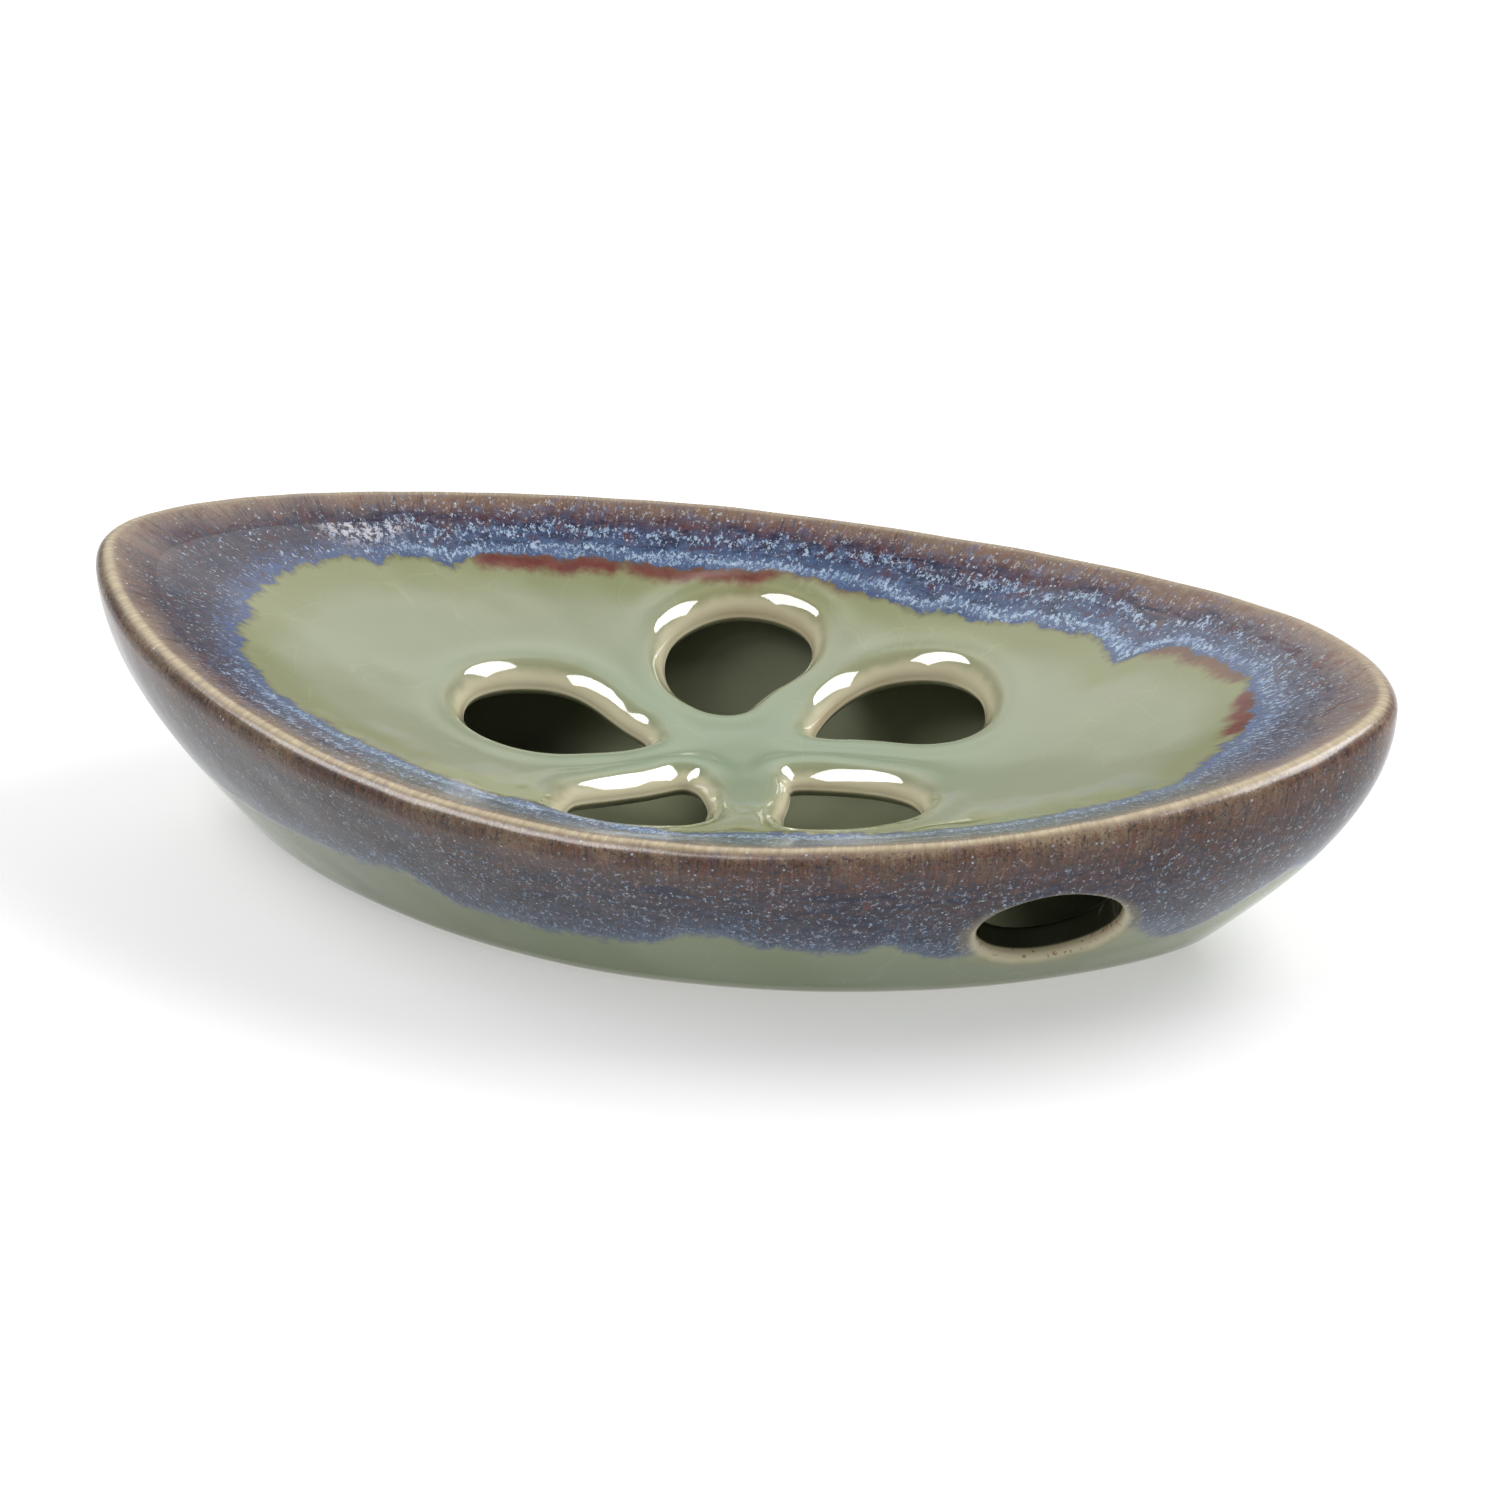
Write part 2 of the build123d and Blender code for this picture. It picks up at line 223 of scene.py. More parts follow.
BAND_OUT = [(0.0, 23.0), (0.04, 21.5), (0.08, 23.5), (0.11, 20.5), (0.15, 22.5), (0.18, 19.5), (0.21, 23.0),
            (0.25, 21.0), (0.28, 24.0), (0.32, 21.0), (0.36, 19.0), (0.40, 22.5), (0.44, 20.5), (0.47, 24.0),
            (0.511, 21.8), (0.524, 20.1), (0.533, 23.2), (0.543, 29.5), (0.554, 30.5), (0.563, 28.5),
            (0.574, 24.2), (0.60, 22.0), (0.637, 26.2), (0.645, 24.3), (0.659, 20.7), (0.666, 22.5),
            (0.697, 22.0), (0.712, 18.7), (0.727, 19.0), (0.735, 22.0), (0.755, 22.9), (0.783, 23.1),
            (0.813, 22.5), (0.828, 18.3), (0.85, 20.7), (0.88, 21.9), (0.907, 22.6), (0.932, 23.1),
            (1.0, 23.0)]


def table_at(table, u):
    a = np.array(table)
    return np.interp(u, a[:, 0], a[:, 1])


CREST_A = CREST[:, :2]
CREST_D = np.roll(CREST_A, -1, 0) - CREST_A
CREST_L2 = (CREST_D ** 2).sum(1)


def nearest_crest(xy):
    """Distance in plan to the rim's crest, and how far round the rim its nearest point is."""
    best = np.full(len(xy), 1e9)
    u = np.zeros(len(xy))
    for k in range(0, len(xy), 2000):
        p = xy[k:k + 2000]
        d2 = ((p[:, None, :] - CREST_A[None]) ** 2).sum(2)
        c = d2.argmin(1)
        for step in (-1, 0):
            i = (c + step) % COLS
            f = np.clip(((p - CREST_A[i]) * CREST_D[i]).sum(1) / CREST_L2[i], 0, 1)
            d = np.hypot(*(p - CREST_A[i] - CREST_D[i] * f[:, None]).T)
            better = d < best[k:k + 2000]
            best[k:k + 2000] = np.where(better, d, best[k:k + 2000])
            u[k:k + 2000] = np.where(better, U[i] + f * SEG[i] / SEG.sum(), u[k:k + 2000])
    return best, np.mod(u, 1.0)


def inward_distance(xy):
    """Distance from the crest, eased where the near and far sides meet at the two ends."""
    d, u = nearest_crest(xy)
    mirror = xy.copy()
    mirror[:, 1] *= -1
    e, _ = nearest_crest(mirror)
    # the distance to the opposite side, from the symmetry of the outline
    other = np.sqrt(d ** 2 + 4 * xy[:, 1] ** 2)
    k = 9.0
    h = np.clip(k - np.abs(d - other), 0, None) / k
    return np.minimum(d, other) - h * h * k * 0.25 * np.clip((d - 2) / 4, 0, 1), u


def crest_ray(xy):
    """The point on the crest that a plan point's glaze ran down from, and its column."""
    x, y = xy[:, 0], xy[:, 1]
    dx, dy = 0.28 * x, y
    n = np.hypot(dx, dy) + 1e-6
    dx, dy = dx / n, dy / n
    lo, hi = np.zeros(len(x)), np.full(len(x), 60.0)
    lim = 1.022
    for _ in range(26):
        mid = 0.5 * (lo + hi)
        out = level(x + dx * mid, y + dy * mid) > lim
        hi = np.where(out, mid, hi)
        lo = np.where(out, lo, mid)
    return x + dx * hi, y + dy * hi


def petal_outline(points, n):
    """An evenly spaced closed curve through the points given for a petal."""
    k = len(points)
    f = np.linspace(0, k, 2001)[:-1]
    i = f.astype(int)
    x = (f - i)[:, None]
    p0, p1, p2, p3 = [points[(i + o) % k] for o in (-1, 0, 1, 2)]
    p = p1 + 0.5 * x * (p2 - p0 + x * (2 * p0 - 5 * p1 + 4 * p2 - p3 + x * (3 * (p1 - p2) + p3 - p0)))
    seg = np.linalg.norm(np.roll(p, -1, 0) - p, axis=1)
    s = np.concatenate([[0], np.cumsum(seg)])
    pos = np.arange(n) / n * s[-1]
    q = np.stack([np.interp(pos, s, np.append(p[:, i], p[0, i])) for i in (0, 1)], -1)
    q = np.stack([smooth_ring(q[:, 0], 1.2), smooth_ring(q[:, 1], 1.2)], -1)
    area = 0.5 * np.sum(q[:, 0] * np.roll(q[:, 1], -1) - np.roll(q[:, 0], -1) * q[:, 1])
    return q if area > 0 else q[::-1]


def loop_normals(q):
    d = np.roll(q, -1, 0) - np.roll(q, 1, 0)
    n = np.stack([d[:, 1], -d[:, 0]], -1)
    n /= np.linalg.norm(n, axis=1)[:, None]
    n = np.stack([smooth_ring(n[:, 0], 1.5), smooth_ring(n[:, 1], 1.5)], -1)
    return n / np.linalg.norm(n, axis=1)[:, None]


def inside(poly, pts):
    x, y = pts[:, 0][:, None], pts[:, 1][:, None]
    ax, ay = poly[:, 0][None], poly[:, 1][None]
    bx, by = np.roll(poly[:, 0], -1)[None], np.roll(poly[:, 1], -1)[None]
    out = np.zeros(len(pts), bool)
    for k in range(0, len(pts), 4000):
        s = slice(k, k + 4000)
        c = ((ay > y[s]) != (by > y[s]))
        with np.errstate(divide="ignore", invalid="ignore"):
            xi = ax + (y[s] - ay) / (by - ay) * (bx - ax)
        out[s] = (np.sum(c & (x[s] < xi), axis=1) % 2) == 1
    return out


def far_from(pts, loops, gap):
    allp = np.vstack(loops)
    ok = np.ones(len(pts), bool)
    for k in range(0, len(pts), 2000):
        d = np.hypot(pts[k:k + 2000, 0][:, None] - allp[None, :, 0],
                     pts[k:k + 2000, 1][:, None] - allp[None, :, 1]).min(1)
        ok[k:k + 2000] = d > gap
    return ok


def fill_plane(outer, holes, spacing, gap):
    """Triangles over a plane region with holes. Returns the extra points and the triangles,
    counted over outer, then each hole, then the extra points."""
    lo, hi = outer.min(0), outer.max(0)
    rows = np.arange(lo[1], hi[1], spacing * 0.866)
    pts = []
    for j, y in enumerate(rows):
        x = np.arange(lo[0] + (0.5 * spacing if j % 2 else 0), hi[0], spacing)
        pts.append(np.stack([x, np.full(len(x), y)], -1))
    pts = np.vstack(pts)
    keep = inside(outer, pts)
    for h in holes:
        keep &= ~inside(h, pts)
    pts = pts[keep]
    pts = pts[far_from(pts, [outer] + list(holes), gap)]
    loops = [outer] + list(holes)
    co = np.vstack(loops + [pts])
    edges = []
    start = 0
    for lp in loops:
        n = len(lp)
        edges += [(start + i, start + (i + 1) % n) for i in range(n)]
        start += n
    v, e, f, ov, oe, of = delaunay_2d_cdt([Vector(p) for p in co], edges, [], 0, 1e-7)
    if len(v) != len(co):
        raise RuntimeError("the region's outline crosses itself")
    back = np.array([o[0] for o in ov])
    tri = back[np.array([list(t) for t in f])]
    mid = co[tri].mean(1)
    keep = inside(outer, mid)
    for h in holes:
        keep &= ~inside(h, mid)
    tri = tri[keep]
    a, b, c = co[tri[:, 0]], co[tri[:, 1]], co[tri[:, 2]]
    area = (b[:, 0] - a[:, 0]) * (c[:, 1] - a[:, 1]) - (b[:, 1] - a[:, 1]) * (c[:, 0] - a[:, 0])
    tri[area < 0] = tri[area < 0][:, ::-1]
    return pts, tri


class Mesh:
    """Vertices, faces and per-vertex measures, gathered before the Blender mesh is made."""

    def __init__(self):
        self.co, self.faces, self.attr = [], [], {}
        self.n = 0
        self.sharp = []

    def add(self, pts, **measures):
        pts = np.asarray(pts, float)
        start = self.n
        self.co.append(pts)
        self.n += len(pts)
        for k, v in measures.items():
            self.attr.setdefault(k, []).append((start, np.broadcast_to(v, (len(pts),)).astype(float)))
        return np.arange(start, start + len(pts))

    def strip(self, a, b, flip=False):
        """Quads between two closed rows of vertices."""
        n = len(a)
        for i in range(n):
            j = (i + 1) % n
            q = (a[i], a[j], b[j], b[i])
            self.faces.append(q[::-1] if flip else q)

    def tris(self, idx, tri, flip=False):
        for t in tri:
            q = (idx[t[0]], idx[t[1]], idx[t[2]])
            self.faces.append(q[::-1] if flip else q)

    def points(self):
        return np.vstack(self.co)

    def build(self, name, default):
        co = self.points()
        vals = {}
        for k, d in default.items():
            v = np.full(self.n, float(d))
            for start, a in self.attr.get(k, []):
                v[start:start + len(a)] = a
            vals[k] = v
        me = bpy.data.meshes.new(name)
        faces = [tuple(int(i) for i in f) for f in self.faces]
        me.from_pydata((wobble(co) * 0.001).tolist(), [], faces)
        me.update()
        for k, v in vals.items():
            at = me.attributes.new(k, "FLOAT", "POINT")
            at.data.foreach_set("value", v)
        me.polygons.foreach_set("use_smooth", [True] * len(me.polygons))
        if self.sharp:
            want = {tuple(sorted((int(a), int(b)))) for row in self.sharp
                    for a, b in zip(row, np.roll(row, -1))}
            flags = [tuple(sorted(e.vertices)) in want for e in me.edges]
            at = me.attributes.get("sharp_edge") or me.attributes.new("sharp_edge", "BOOLEAN", "EDGE")
            at.data.foreach_set("value", flags)
        me.validate()
        ob = bpy.data.objects.new(name, me)
        bpy.context.scene.collection.objects.link(ob)
        return ob


DEFAULTS = {"s": 40.0, "t": 4.0, "band": 30.0, "crx": 0.0, "cry": 0.0, "lip": 20.0, "depth": 0.0, "pool": 0.0,
            "foot": 30.0, "maroon": 0.0}


# ------------------------------------------------- measures used by materials
def bump_at(u, centre, half, soft):
    d = np.abs((u - centre + 0.5) % 1.0 - 0.5)
    return np.clip((half + soft - d) / soft, 0, 1)


def top_measures(xy, z=None):
    d, u = inward_distance(xy)
    wide = table_at(BAND_IN, u)
    cx, cy = crest_ray(xy)
    maroon = np.maximum.reduce([
        bump_at(u, 0.150, 0.024, 0.006), 0.95 * bump_at(u, 0.205, 0.024, 0.01),
        0.5 * bump_at(u, 0.243, 0.016, 0.012), 0.8 * bump_at(u, 0.408, 0.022, 0.008),
        bump_at(u, 0.458, 0.016, 0.004), 0.35 * bump_at(u, 0.85, 0.03, 0.02)])
    return dict(s=d, t=d / wide, band=d - wide, crx=cx, cry=cy, maroon=maroon,
                pool=1 - np.clip(level(xy[:, 0], xy[:, 1]), 0, 1))


CRAY = crest_ray(CREST[:, :2])


def outer_measures(depth):
    """depth: how far down the outside from the crest, one value for each column."""
    wide = table_at(BAND_OUT, U)
    return dict(s=-depth, t=depth / wide, band=depth - wide, crx=CRAY[0], cry=CRAY[1])


# ---------------------------------------------------------------- the plate


def lip_profile(rows):
    """A petal's edge in section: eased off the plate, a broad slope, then a tighter turn down."""
    ang = np.linspace(0, math.pi / 2, 361)
    radius = 1.15 + 4.3 * np.exp(-((np.degrees(ang) - 40) / 13) ** 2)
    step = ang[1] - ang[0]
    across = np.concatenate([[0], np.cumsum(0.5 * (radius * np.cos(ang))[1:] + 0.5 * (radius * np.cos(ang))[:-1])]) * step
    down = np.concatenate([[0], np.cumsum(0.5 * (radius * np.sin(ang))[1:] + 0.5 * (radius * np.sin(ang))[:-1])]) * step
    run = np.concatenate([[0], np.cumsum(0.5 * (radius[1:] + radius[:-1]))]) * step
    at = np.interp(np.linspace(0, run[-1], rows + 1), run, np.arange(len(ang)))
    pick = lambda v: np.interp(at, np.arange(len(ang)), v)
    return pick(across), pick(down)


LIP_ROWS = 13
LIP_X, LIP_Z = lip_profile(LIP_ROWS)
LIP_A, LIP_B = float(LIP_X[-1]), float(LIP_Z[-1])     # how far the edge's rounding reaches across and down
UNDER_A, UNDER_B = 1.0, 0.9
PETAL_N = 132


def plate_piece():
    m = Mesh()
    jx, jy = joint_ring2()
    outer = np.stack([jx, jy], -1)
    walls = [petal_outline(p, PETAL_N) for p in PETALS]
    norms = [loop_normals(w) for w in walls]
    starts = [w + n * LIP_A for w, n in zip(walls, norms)]
    flat_outer = outer
    pts, tri = fill_plane(flat_outer, starts, 0.85, 0.45)
    loops = [flat_outer] + starts + [pts]
    co2 = np.vstack(loops)
    z = top_z(co2[:, 0], co2[:, 1])
    lipd = np.full(len(co2), 20.0)
    allw = np.vstack(walls)
    for k in range(0, len(co2), 2000):
        lipd[k:k + 2000] = np.hypot(co2[k:k + 2000, 0][:, None] - allw[None, :, 0],
                                    co2[k:k + 2000, 1][:, None] - allw[None, :, 1]).min(1)
    # the clay swells a little towards each petal's edge before it rolls over
    z = z + 0.30 * np.exp(-((lipd - 3.5) / 1.7) ** 2)
    top = m.add(np.c_[co2, z], lip=lipd, **top_measures(co2))
    m.tris(top, tri)
    # underside
    # the underside meets the joint wall further in, where the wall leans
    low_outer = under_ring(SLIP)[:, :2]
    u_starts = [w + n * UNDER_A for w, n in zip(walls, norms)]
    pts2, tri2 = fill_plane(low_outer, u_starts, 1.6, 0.7)
    co3 = np.vstack([low_outer] + u_starts + [pts2])
    under = m.add(np.c_[co3, top_z(co3[:, 0], co3[:, 1]) - PLATE], lip=-6.0, depth=1.0)
    m.tris(under, tri2, flip=True)
    # petal edges: roll, wall, lower roll
    ofs_t, ofs_u = len(outer), len(low_outer)
    for k, (w, n) in enumerate(zip(walls, norms)):
        prev = top[ofs_t + k * PETAL_N: ofs_t + (k + 1) * PETAL_N]
        zt = top_z(w[:, 0], w[:, 1])
        ztop = m.points()[prev, 2]
        rows = []
        for i in range(1, LIP_ROWS + 1):
            f = i / LIP_ROWS
            q = w + n * (LIP_A - LIP_X[i])
            zz = ztop * (1 - f) + top_z(q[:, 0], q[:, 1]) * f - LIP_Z[i]
            rows.append((q, zz, LIP_A - LIP_X[i] - 0.35 * LIP_Z[i]))
        for f in (0.35, 0.7, 1.0):
            d = LIP_B + (PLATE - LIP_B - UNDER_B) * f
            rows.append((w - n * 0.10 * math.sin(f * math.pi), zt - d, -d + 1.0))
        for i in range(1, 5):
            a = i / 5 * math.pi / 2
            q = w + n * UNDER_A * (1 - math.cos(a))
            zz = top_z(q[:, 0], q[:, 1]) - PLATE + UNDER_B * (1 - math.sin(a))
            rows.append((q, zz, -PLATE + 0.6))
        for q, zz, ld in rows:
            idx = m.add(np.c_[q, zz], lip=ld, **top_measures(q))
            m.strip(prev, idx, flip=False)
            prev = idx
        m.strip(prev, under[ofs_u + k * PETAL_N: ofs_u + (k + 1) * PETAL_N], flip=False)
    # outer edge: down through the glaze, in over the slip, and down to the underside
    edge = top[:COLS]
    z0 = m.points()[edge, 2]
    a = m.add(np.c_[outer, z0 - 0.35], lip=20.0, depth=1.0)
    inner2 = np.stack(joint_ring2(SLIP), -1)
    b = m.add(np.c_[inner2, top_z(inner2[:, 0], inner2[:, 1]) - 0.35], depth=1.0)
    low = under[:COLS]
    m.strip(edge, a, flip=True)
    m.strip(a, b, flip=True)
    m.strip(b, low, flip=True)
    m.sharp += [edge, a, b, low]
    return m


def under_ring(extra=0.0):
    """Where the inside of the wall meets the plate's underside, one point a column."""
    lo = np.full(COLS, 0.3)
    hi = np.full(COLS, 1.0)
    for _ in range(30):
        mid = 0.5 * (lo + hi)
        p = inner_ring(mid, extra)
        high = p[:, 2] > top_z(p[:, 0], p[:, 1]) - PLATE
        hi = np.where(high, mid, hi)
        lo = np.where(high, lo, mid)
    return inner_ring(0.5 * (lo + hi), extra)


# ----------------------------------------------------------------- the bowl
def bowl_piece():
    m = Mesh()
    rows = []        # (points, measures)
    jx, jy = joint_ring2()
    # top strip, joint to the roll
    for f in np.linspace(1, 0, 9)[:-1]:
        x, y = EX + (jx - EX) * f, EY + (jy - EY) * f
        xy = np.stack([x, y], -1)
        rows.append((np.c_[xy, top_z(x, y)], top_measures(xy)))
    n_roll = 13
    for i in range(n_roll):
        phi = -SLOPE + (PHI_WALL + SLOPE) * i / n_roll
        p = roll_point(phi)
        depth = ROLL * phi
        tm = top_measures(p[:, :2])
        om = outer_measures(np.maximum(depth, 0))
        inner = phi < 0
        meas = {k: np.where(inner, tm[k], om[k]) for k in ("s", "t", "band", "crx", "cry")}
        meas["maroon"] = 0.0
        rows.append((p, meas))
    depth0 = ROLL * PHI_WALL
    last = wall_ring(1.0)
    dist = depth0.copy()
    wall_v = list(np.linspace(1.0, 0.0, 44))
    zfoot = FOOT_ROUND
    wall_first = len(rows)
    prev = last
    for v in wall_v:
        vv = np.full(COLS, v)
        p = wall_ring(vv)
        if p[:, 2].max() < zfoot * 1.6:
            break
        dist = dist + np.linalg.norm(p - prev, axis=1)
        prev = p
        rows.append((p, outer_measures(dist)))
    # foot rounding, joined on at a level height
    wall_last = len(rows) - 1
    for i in range(7):
        a = (i / 6) * math.pi / 2
        z = FOOT_ROUND * (1 - math.sin(a))
        inset = FOOT_ROUND * (1 - math.cos(a))
        base = wall_ring(z / RZ)
        fx, fy = ring2(FOOT_L - inset, FOOT_W - inset, power=FOOT_POWER, sharp=FOOT_SHARP, dx=FOOT_DX)
        p = np.stack([base[:, 0] - (FX - fx), base[:, 1] - (FY - fy), np.full(COLS, z)], -1)
        dist = dist + np.linalg.norm(p - prev, axis=1)
        prev = p
        meas = outer_measures(dist)
        meas["foot"] = z - 0.35
        rows.append((p, meas))
    foot_edge = prev
    for k, dz in ((0.965, 0.02), (0.93, 0.12), (0.88, 0.22), (0.7, 0.25), (0.45, 0.25), (0.2, 0.25), (0.05, 0.25)):
        q = foot_edge.copy()
        q[:, 0] = FOOT_DX + (q[:, 0] - FOOT_DX) * k
        q[:, 1] *= k
        q[:, 2] = dz
        rows.append((q, dict(foot=-3.0, band=20.0, s=-60.0)))
    return m, rows, wall_first, wall_last


def make_bowl():
    m, rows, wall_first, wall_last = bowl_piece()
    idx = [m.add(p, **meas) for p, meas in rows]
    # where the side hole goes: plane coordinates across its axis
    A = HOLE_A
    PX = np.cross([0, 0, 1.0], A)
    PX /= np.linalg.norm(PX)
    PY = np.cross(A, PX)

    def plane(p):
        d = p - HOLE_C
        return np.stack([d @ PX, d @ PY], -1)

    def window(grid, first, last):
        """The block of rows and columns that holds the hole and its lip."""
        reach = HOLE_R + 3.2
        js, cs = [], []
        for j in range(first, last + 1):
            p = grid[j]
            q = plane(p)
            near = (np.hypot(q[:, 0], q[:, 1]) < reach) & (p[:, 1] < 0) & (p[:, 0] > 20)
            if near.any():
                js.append(j)
                cs += list(np.where(near)[0])
        return max(first, min(js) - 1), min(last, max(js) + 1), min(cs) - 1, max(cs) + 1

    def surface_at(target, grid_fn, guess, steps=12):
        """Finds (v, column) on a surface where the plane coordinates are the target's."""
        a = guess.copy()
        for _ in range(steps):
            p = grid_fn(a)
            r = plane(p) - target
            h = 1e-3
            d0 = (plane(grid_fn(a + [h, 0])) - plane(p)) / h
            d1 = (plane(grid_fn(a + [0, h * 100])) - plane(p)) / (h * 100)
            det = d0[:, 0] * d1[:, 1] - d0[:, 1] * d1[:, 0]
            a[:, 0] -= (r[:, 0] * d1[:, 1] - r[:, 1] * d1[:, 0]) / det
            a[:, 1] -= (d0[:, 0] * r[:, 1] - d0[:, 1] * r[:, 0]) / det
        return grid_fn(a), a

    def sampler(ring_fn, vs):
        """A smooth function of (v, column) from rings at many v."""
        stack = np.array([ring_fn(np.full(COLS, v)) for v in vs])

        def fn(a):
            fv = np.clip((a[:, 0] - vs[0]) / (vs[1] - vs[0]), 1, len(vs) - 3.001)
            fc = np.mod(a[:, 1], COLS)
            i, j = fv.astype(int), fc.astype(int)
            x, y = fv - i, fc - j

            def cubic(p0, p1, p2, p3, t):
                t = t[:, None]
                return p1 + 0.5 * t * (p2 - p0 + t * (2 * p0 - 5 * p1 + 4 * p2 - p3
                                                      + t * (3 * (p1 - p2) + p3 - p0)))
            cols = []
            for dj in (-1, 0, 1, 2):
                jj = np.mod(j + dj, COLS)
                cols.append(cubic(*[stack[i + di, jj] for di in (-1, 0, 1, 2)], x))
            return cubic(*cols, y)
        return fn

    def patch(m, grid_idx, grid_pts, first, last, ring_fn, vs, flip, lip_a, measures):
        j0, j1, c0, c1 = window(grid_pts, first, last)
        fn = sampler(ring_fn, vs)
        # loop round the window, anticlockwise in (column, row)
        loop = [(j0, c) for c in range(c0, c1)] + [(j, c1) for j in range(j0, j1)] \
            + [(j1, c) for c in range(c1, c0, -1)] + [(j, c0) for j in range(j1, j0, -1)]
        lid = np.array([grid_idx[j][c] for j, c in loop])
        lp = plane(np.array([grid_pts[j][c] for j, c in loop]))
        area = 0.5 * np.sum(lp[:, 0] * np.roll(lp[:, 1], -1) - np.roll(lp[:, 0], -1) * lp[:, 1])
        if area < 0:
            lid, lp = lid[::-1], lp[::-1]
        ang = np.arange(HOLE_N) / HOLE_N * 2 * np.pi
        # the hole is cut by hand, so it is not a perfect circle
        rad = HOLE_R * (1 + 0.012 * np.sin(2 * ang + 0.7) + 0.008 * np.sin(3 * ang + 2.0))
        circle = np.stack([np.cos(ang), np.sin(ang)], -1)
        start = circle * (rad + lip_a)[:, None]
        pts, tri = fill_plane(lp, [start], 0.6, 0.33)
        new2 = np.vstack([start, pts])
        # guesses from the nearest grid vertex
        gp = np.concatenate([plane(grid_pts[j][c0:c1 + 1]) for j in range(j0, j1 + 1)])
        gi = np.array([(grid_v[id(grid_pts)][j], c) for j in range(j0, j1 + 1) for c in range(c0, c1 + 1)], float)
        near = np.array([np.argmin(np.hypot(*(gp - q).T)) for q in new2])
        p3, par = surface_at(new2, fn, gi[near])
        ids = m.add(p3, **measures(p3, par, np.hypot(new2[:, 0], new2[:, 1]) - HOLE_R))
        full = np.concatenate([lid, ids])
        m.tris(full, tri, flip=flip)
        return (j0, j1, c0, c1), ids[:HOLE_N], circle, rad, fn, gi, gp

    # wall rows carry their v
    grid_v = {}
    outer_pts = [r[0] for r in rows]
    vlist = np.zeros(len(rows))
    wv = np.linspace(1.0, 0.0, 44)
    for k in range(wall_first, wall_last + 1):
        vlist[k] = wv[k - wall_first]
    grid_v[id(outer_pts)] = vlist
    vs_o = np.linspace(-0.05, 1.05, 111)

    def outer_meas(p3, par, lipd):
        u = U[np.mod(par[:, 1].astype(int), COLS)]
        col = np.mod(np.round(par[:, 1]).astype(int), COLS)
        # depth from the crest, read off the rows
        ds = np.array([-rows[k][1]["s"] for k in range(wall_first, wall_last + 1)])
        vv = wv[:ds.shape[0]]
        depth = np.array([np.interp(-v, -vv, ds[:, c]) for v, c in zip(par[:, 0], col)])
        frac = par[:, 1] - np.floor(par[:, 1])
        c0 = np.mod(np.floor(par[:, 1]).astype(int), COLS)
        c1 = np.mod(c0 + 1, COLS)
        crest = np.stack(CRAY, -1)[c0] * (1 - frac)[:, None] + np.stack(CRAY, -1)[c1] * frac[:, None]
        uu = U[c0] + frac / COLS
        wide = table_at(BAND_OUT, uu)
        rise = np.clip((p3[:, 2] - HOLE_C[2]) / HOLE_R, -1, 1)
        return dict(s=-depth, t=depth / wide, band=depth - wide, crx=crest[:, 0], cry=crest[:, 1],
                    lip=lipd + np.where(rise > 0, 1.6, 0.5) * rise)

    win_o, lip_o, circle, rad, fn_o, gi_o, gp_o = patch(
        m, idx, outer_pts, wall_first, wall_last, wall_ring, vs_o, False, HOLE_LIP_A, outer_meas)

    # inside rows: joint, down the wall, floor
    in_rows, in_v = [], []
    for v in np.linspace(1.0, 0.0, 30)[1:]:
        in_rows.append(inner_ring(np.full(COLS, v)))
        in_v.append(v)
    # soft corner between wall and floor
    first_in = 0
    base = in_rows[-1]
    in_rows = in_rows[:-1]
    in_v = in_v[:-1]
    last_in = len(in_rows) - 1
    for k, dz in ((0.985, 0.25), (0.95, 0.02), (0.9, 0.0), (0.8, 0.0), (0.68, 0.0), (0.54, 0.0), (0.4, 0.0),
                  (0.26, 0.0), (0.13, 0.0), (0.03, 0.0)):
        r = base.copy()
        r[:, 0] = FOOT_DX + (r[:, 0] - FOOT_DX) * k
        r[:, 1] *= k
        r[:, 2] = FLOOR + dz
        in_rows.append(r)
        in_v.append(0.0)
    joint_idx = idx[0]
    in_idx = [m.add(p, depth=1.0, band=12.0, lip=-9.0, s=30.0, crx=p[:, 0], cry=p[:, 1]) for p in in_rows]
    grid_v[id(in_rows)] = np.array(in_v)
    vs_i = np.linspace(-0.05, 1.05, 111)

    def inner_meas(p3, par, lipd):
        return dict(depth=1.0, band=12.0, s=30.0, lip=np.clip(lipd, -4, 9), crx=p3[:, 0], cry=p3[:, 1])

    win_i, lip_i, _, _, fn_i, gi_i, gp_i = patch(
        m, in_idx, in_rows, first_in, last_in, inner_ring, vs_i, True, HOLE_IN_A, inner_meas)

    # quads everywhere outside the two windows
    def quads(grid, win, flip):
        j0, j1, c0, c1 = win
        for j in range(len(grid) - 1):
            a, b = grid[j], grid[j + 1]
            for c in range(COLS):
                if j0 <= j < j1 and c0 <= c < c1:
                    continue
                d = (c + 1) % COLS
                qd = (a[c], a[d], b[d], b[c])
                m.faces.append(qd[::-1] if flip else qd)
    quads(idx, win_o, False)
    m.faces.append(tuple(idx[-1]))                      # middle of the foot
    quads([joint_idx] + in_idx, (win_i[0] + 1, win_i[1] + 1, win_i[2], win_i[3]), True)
    m.faces.append(tuple(in_idx[-1][::-1]))             # middle of the floor

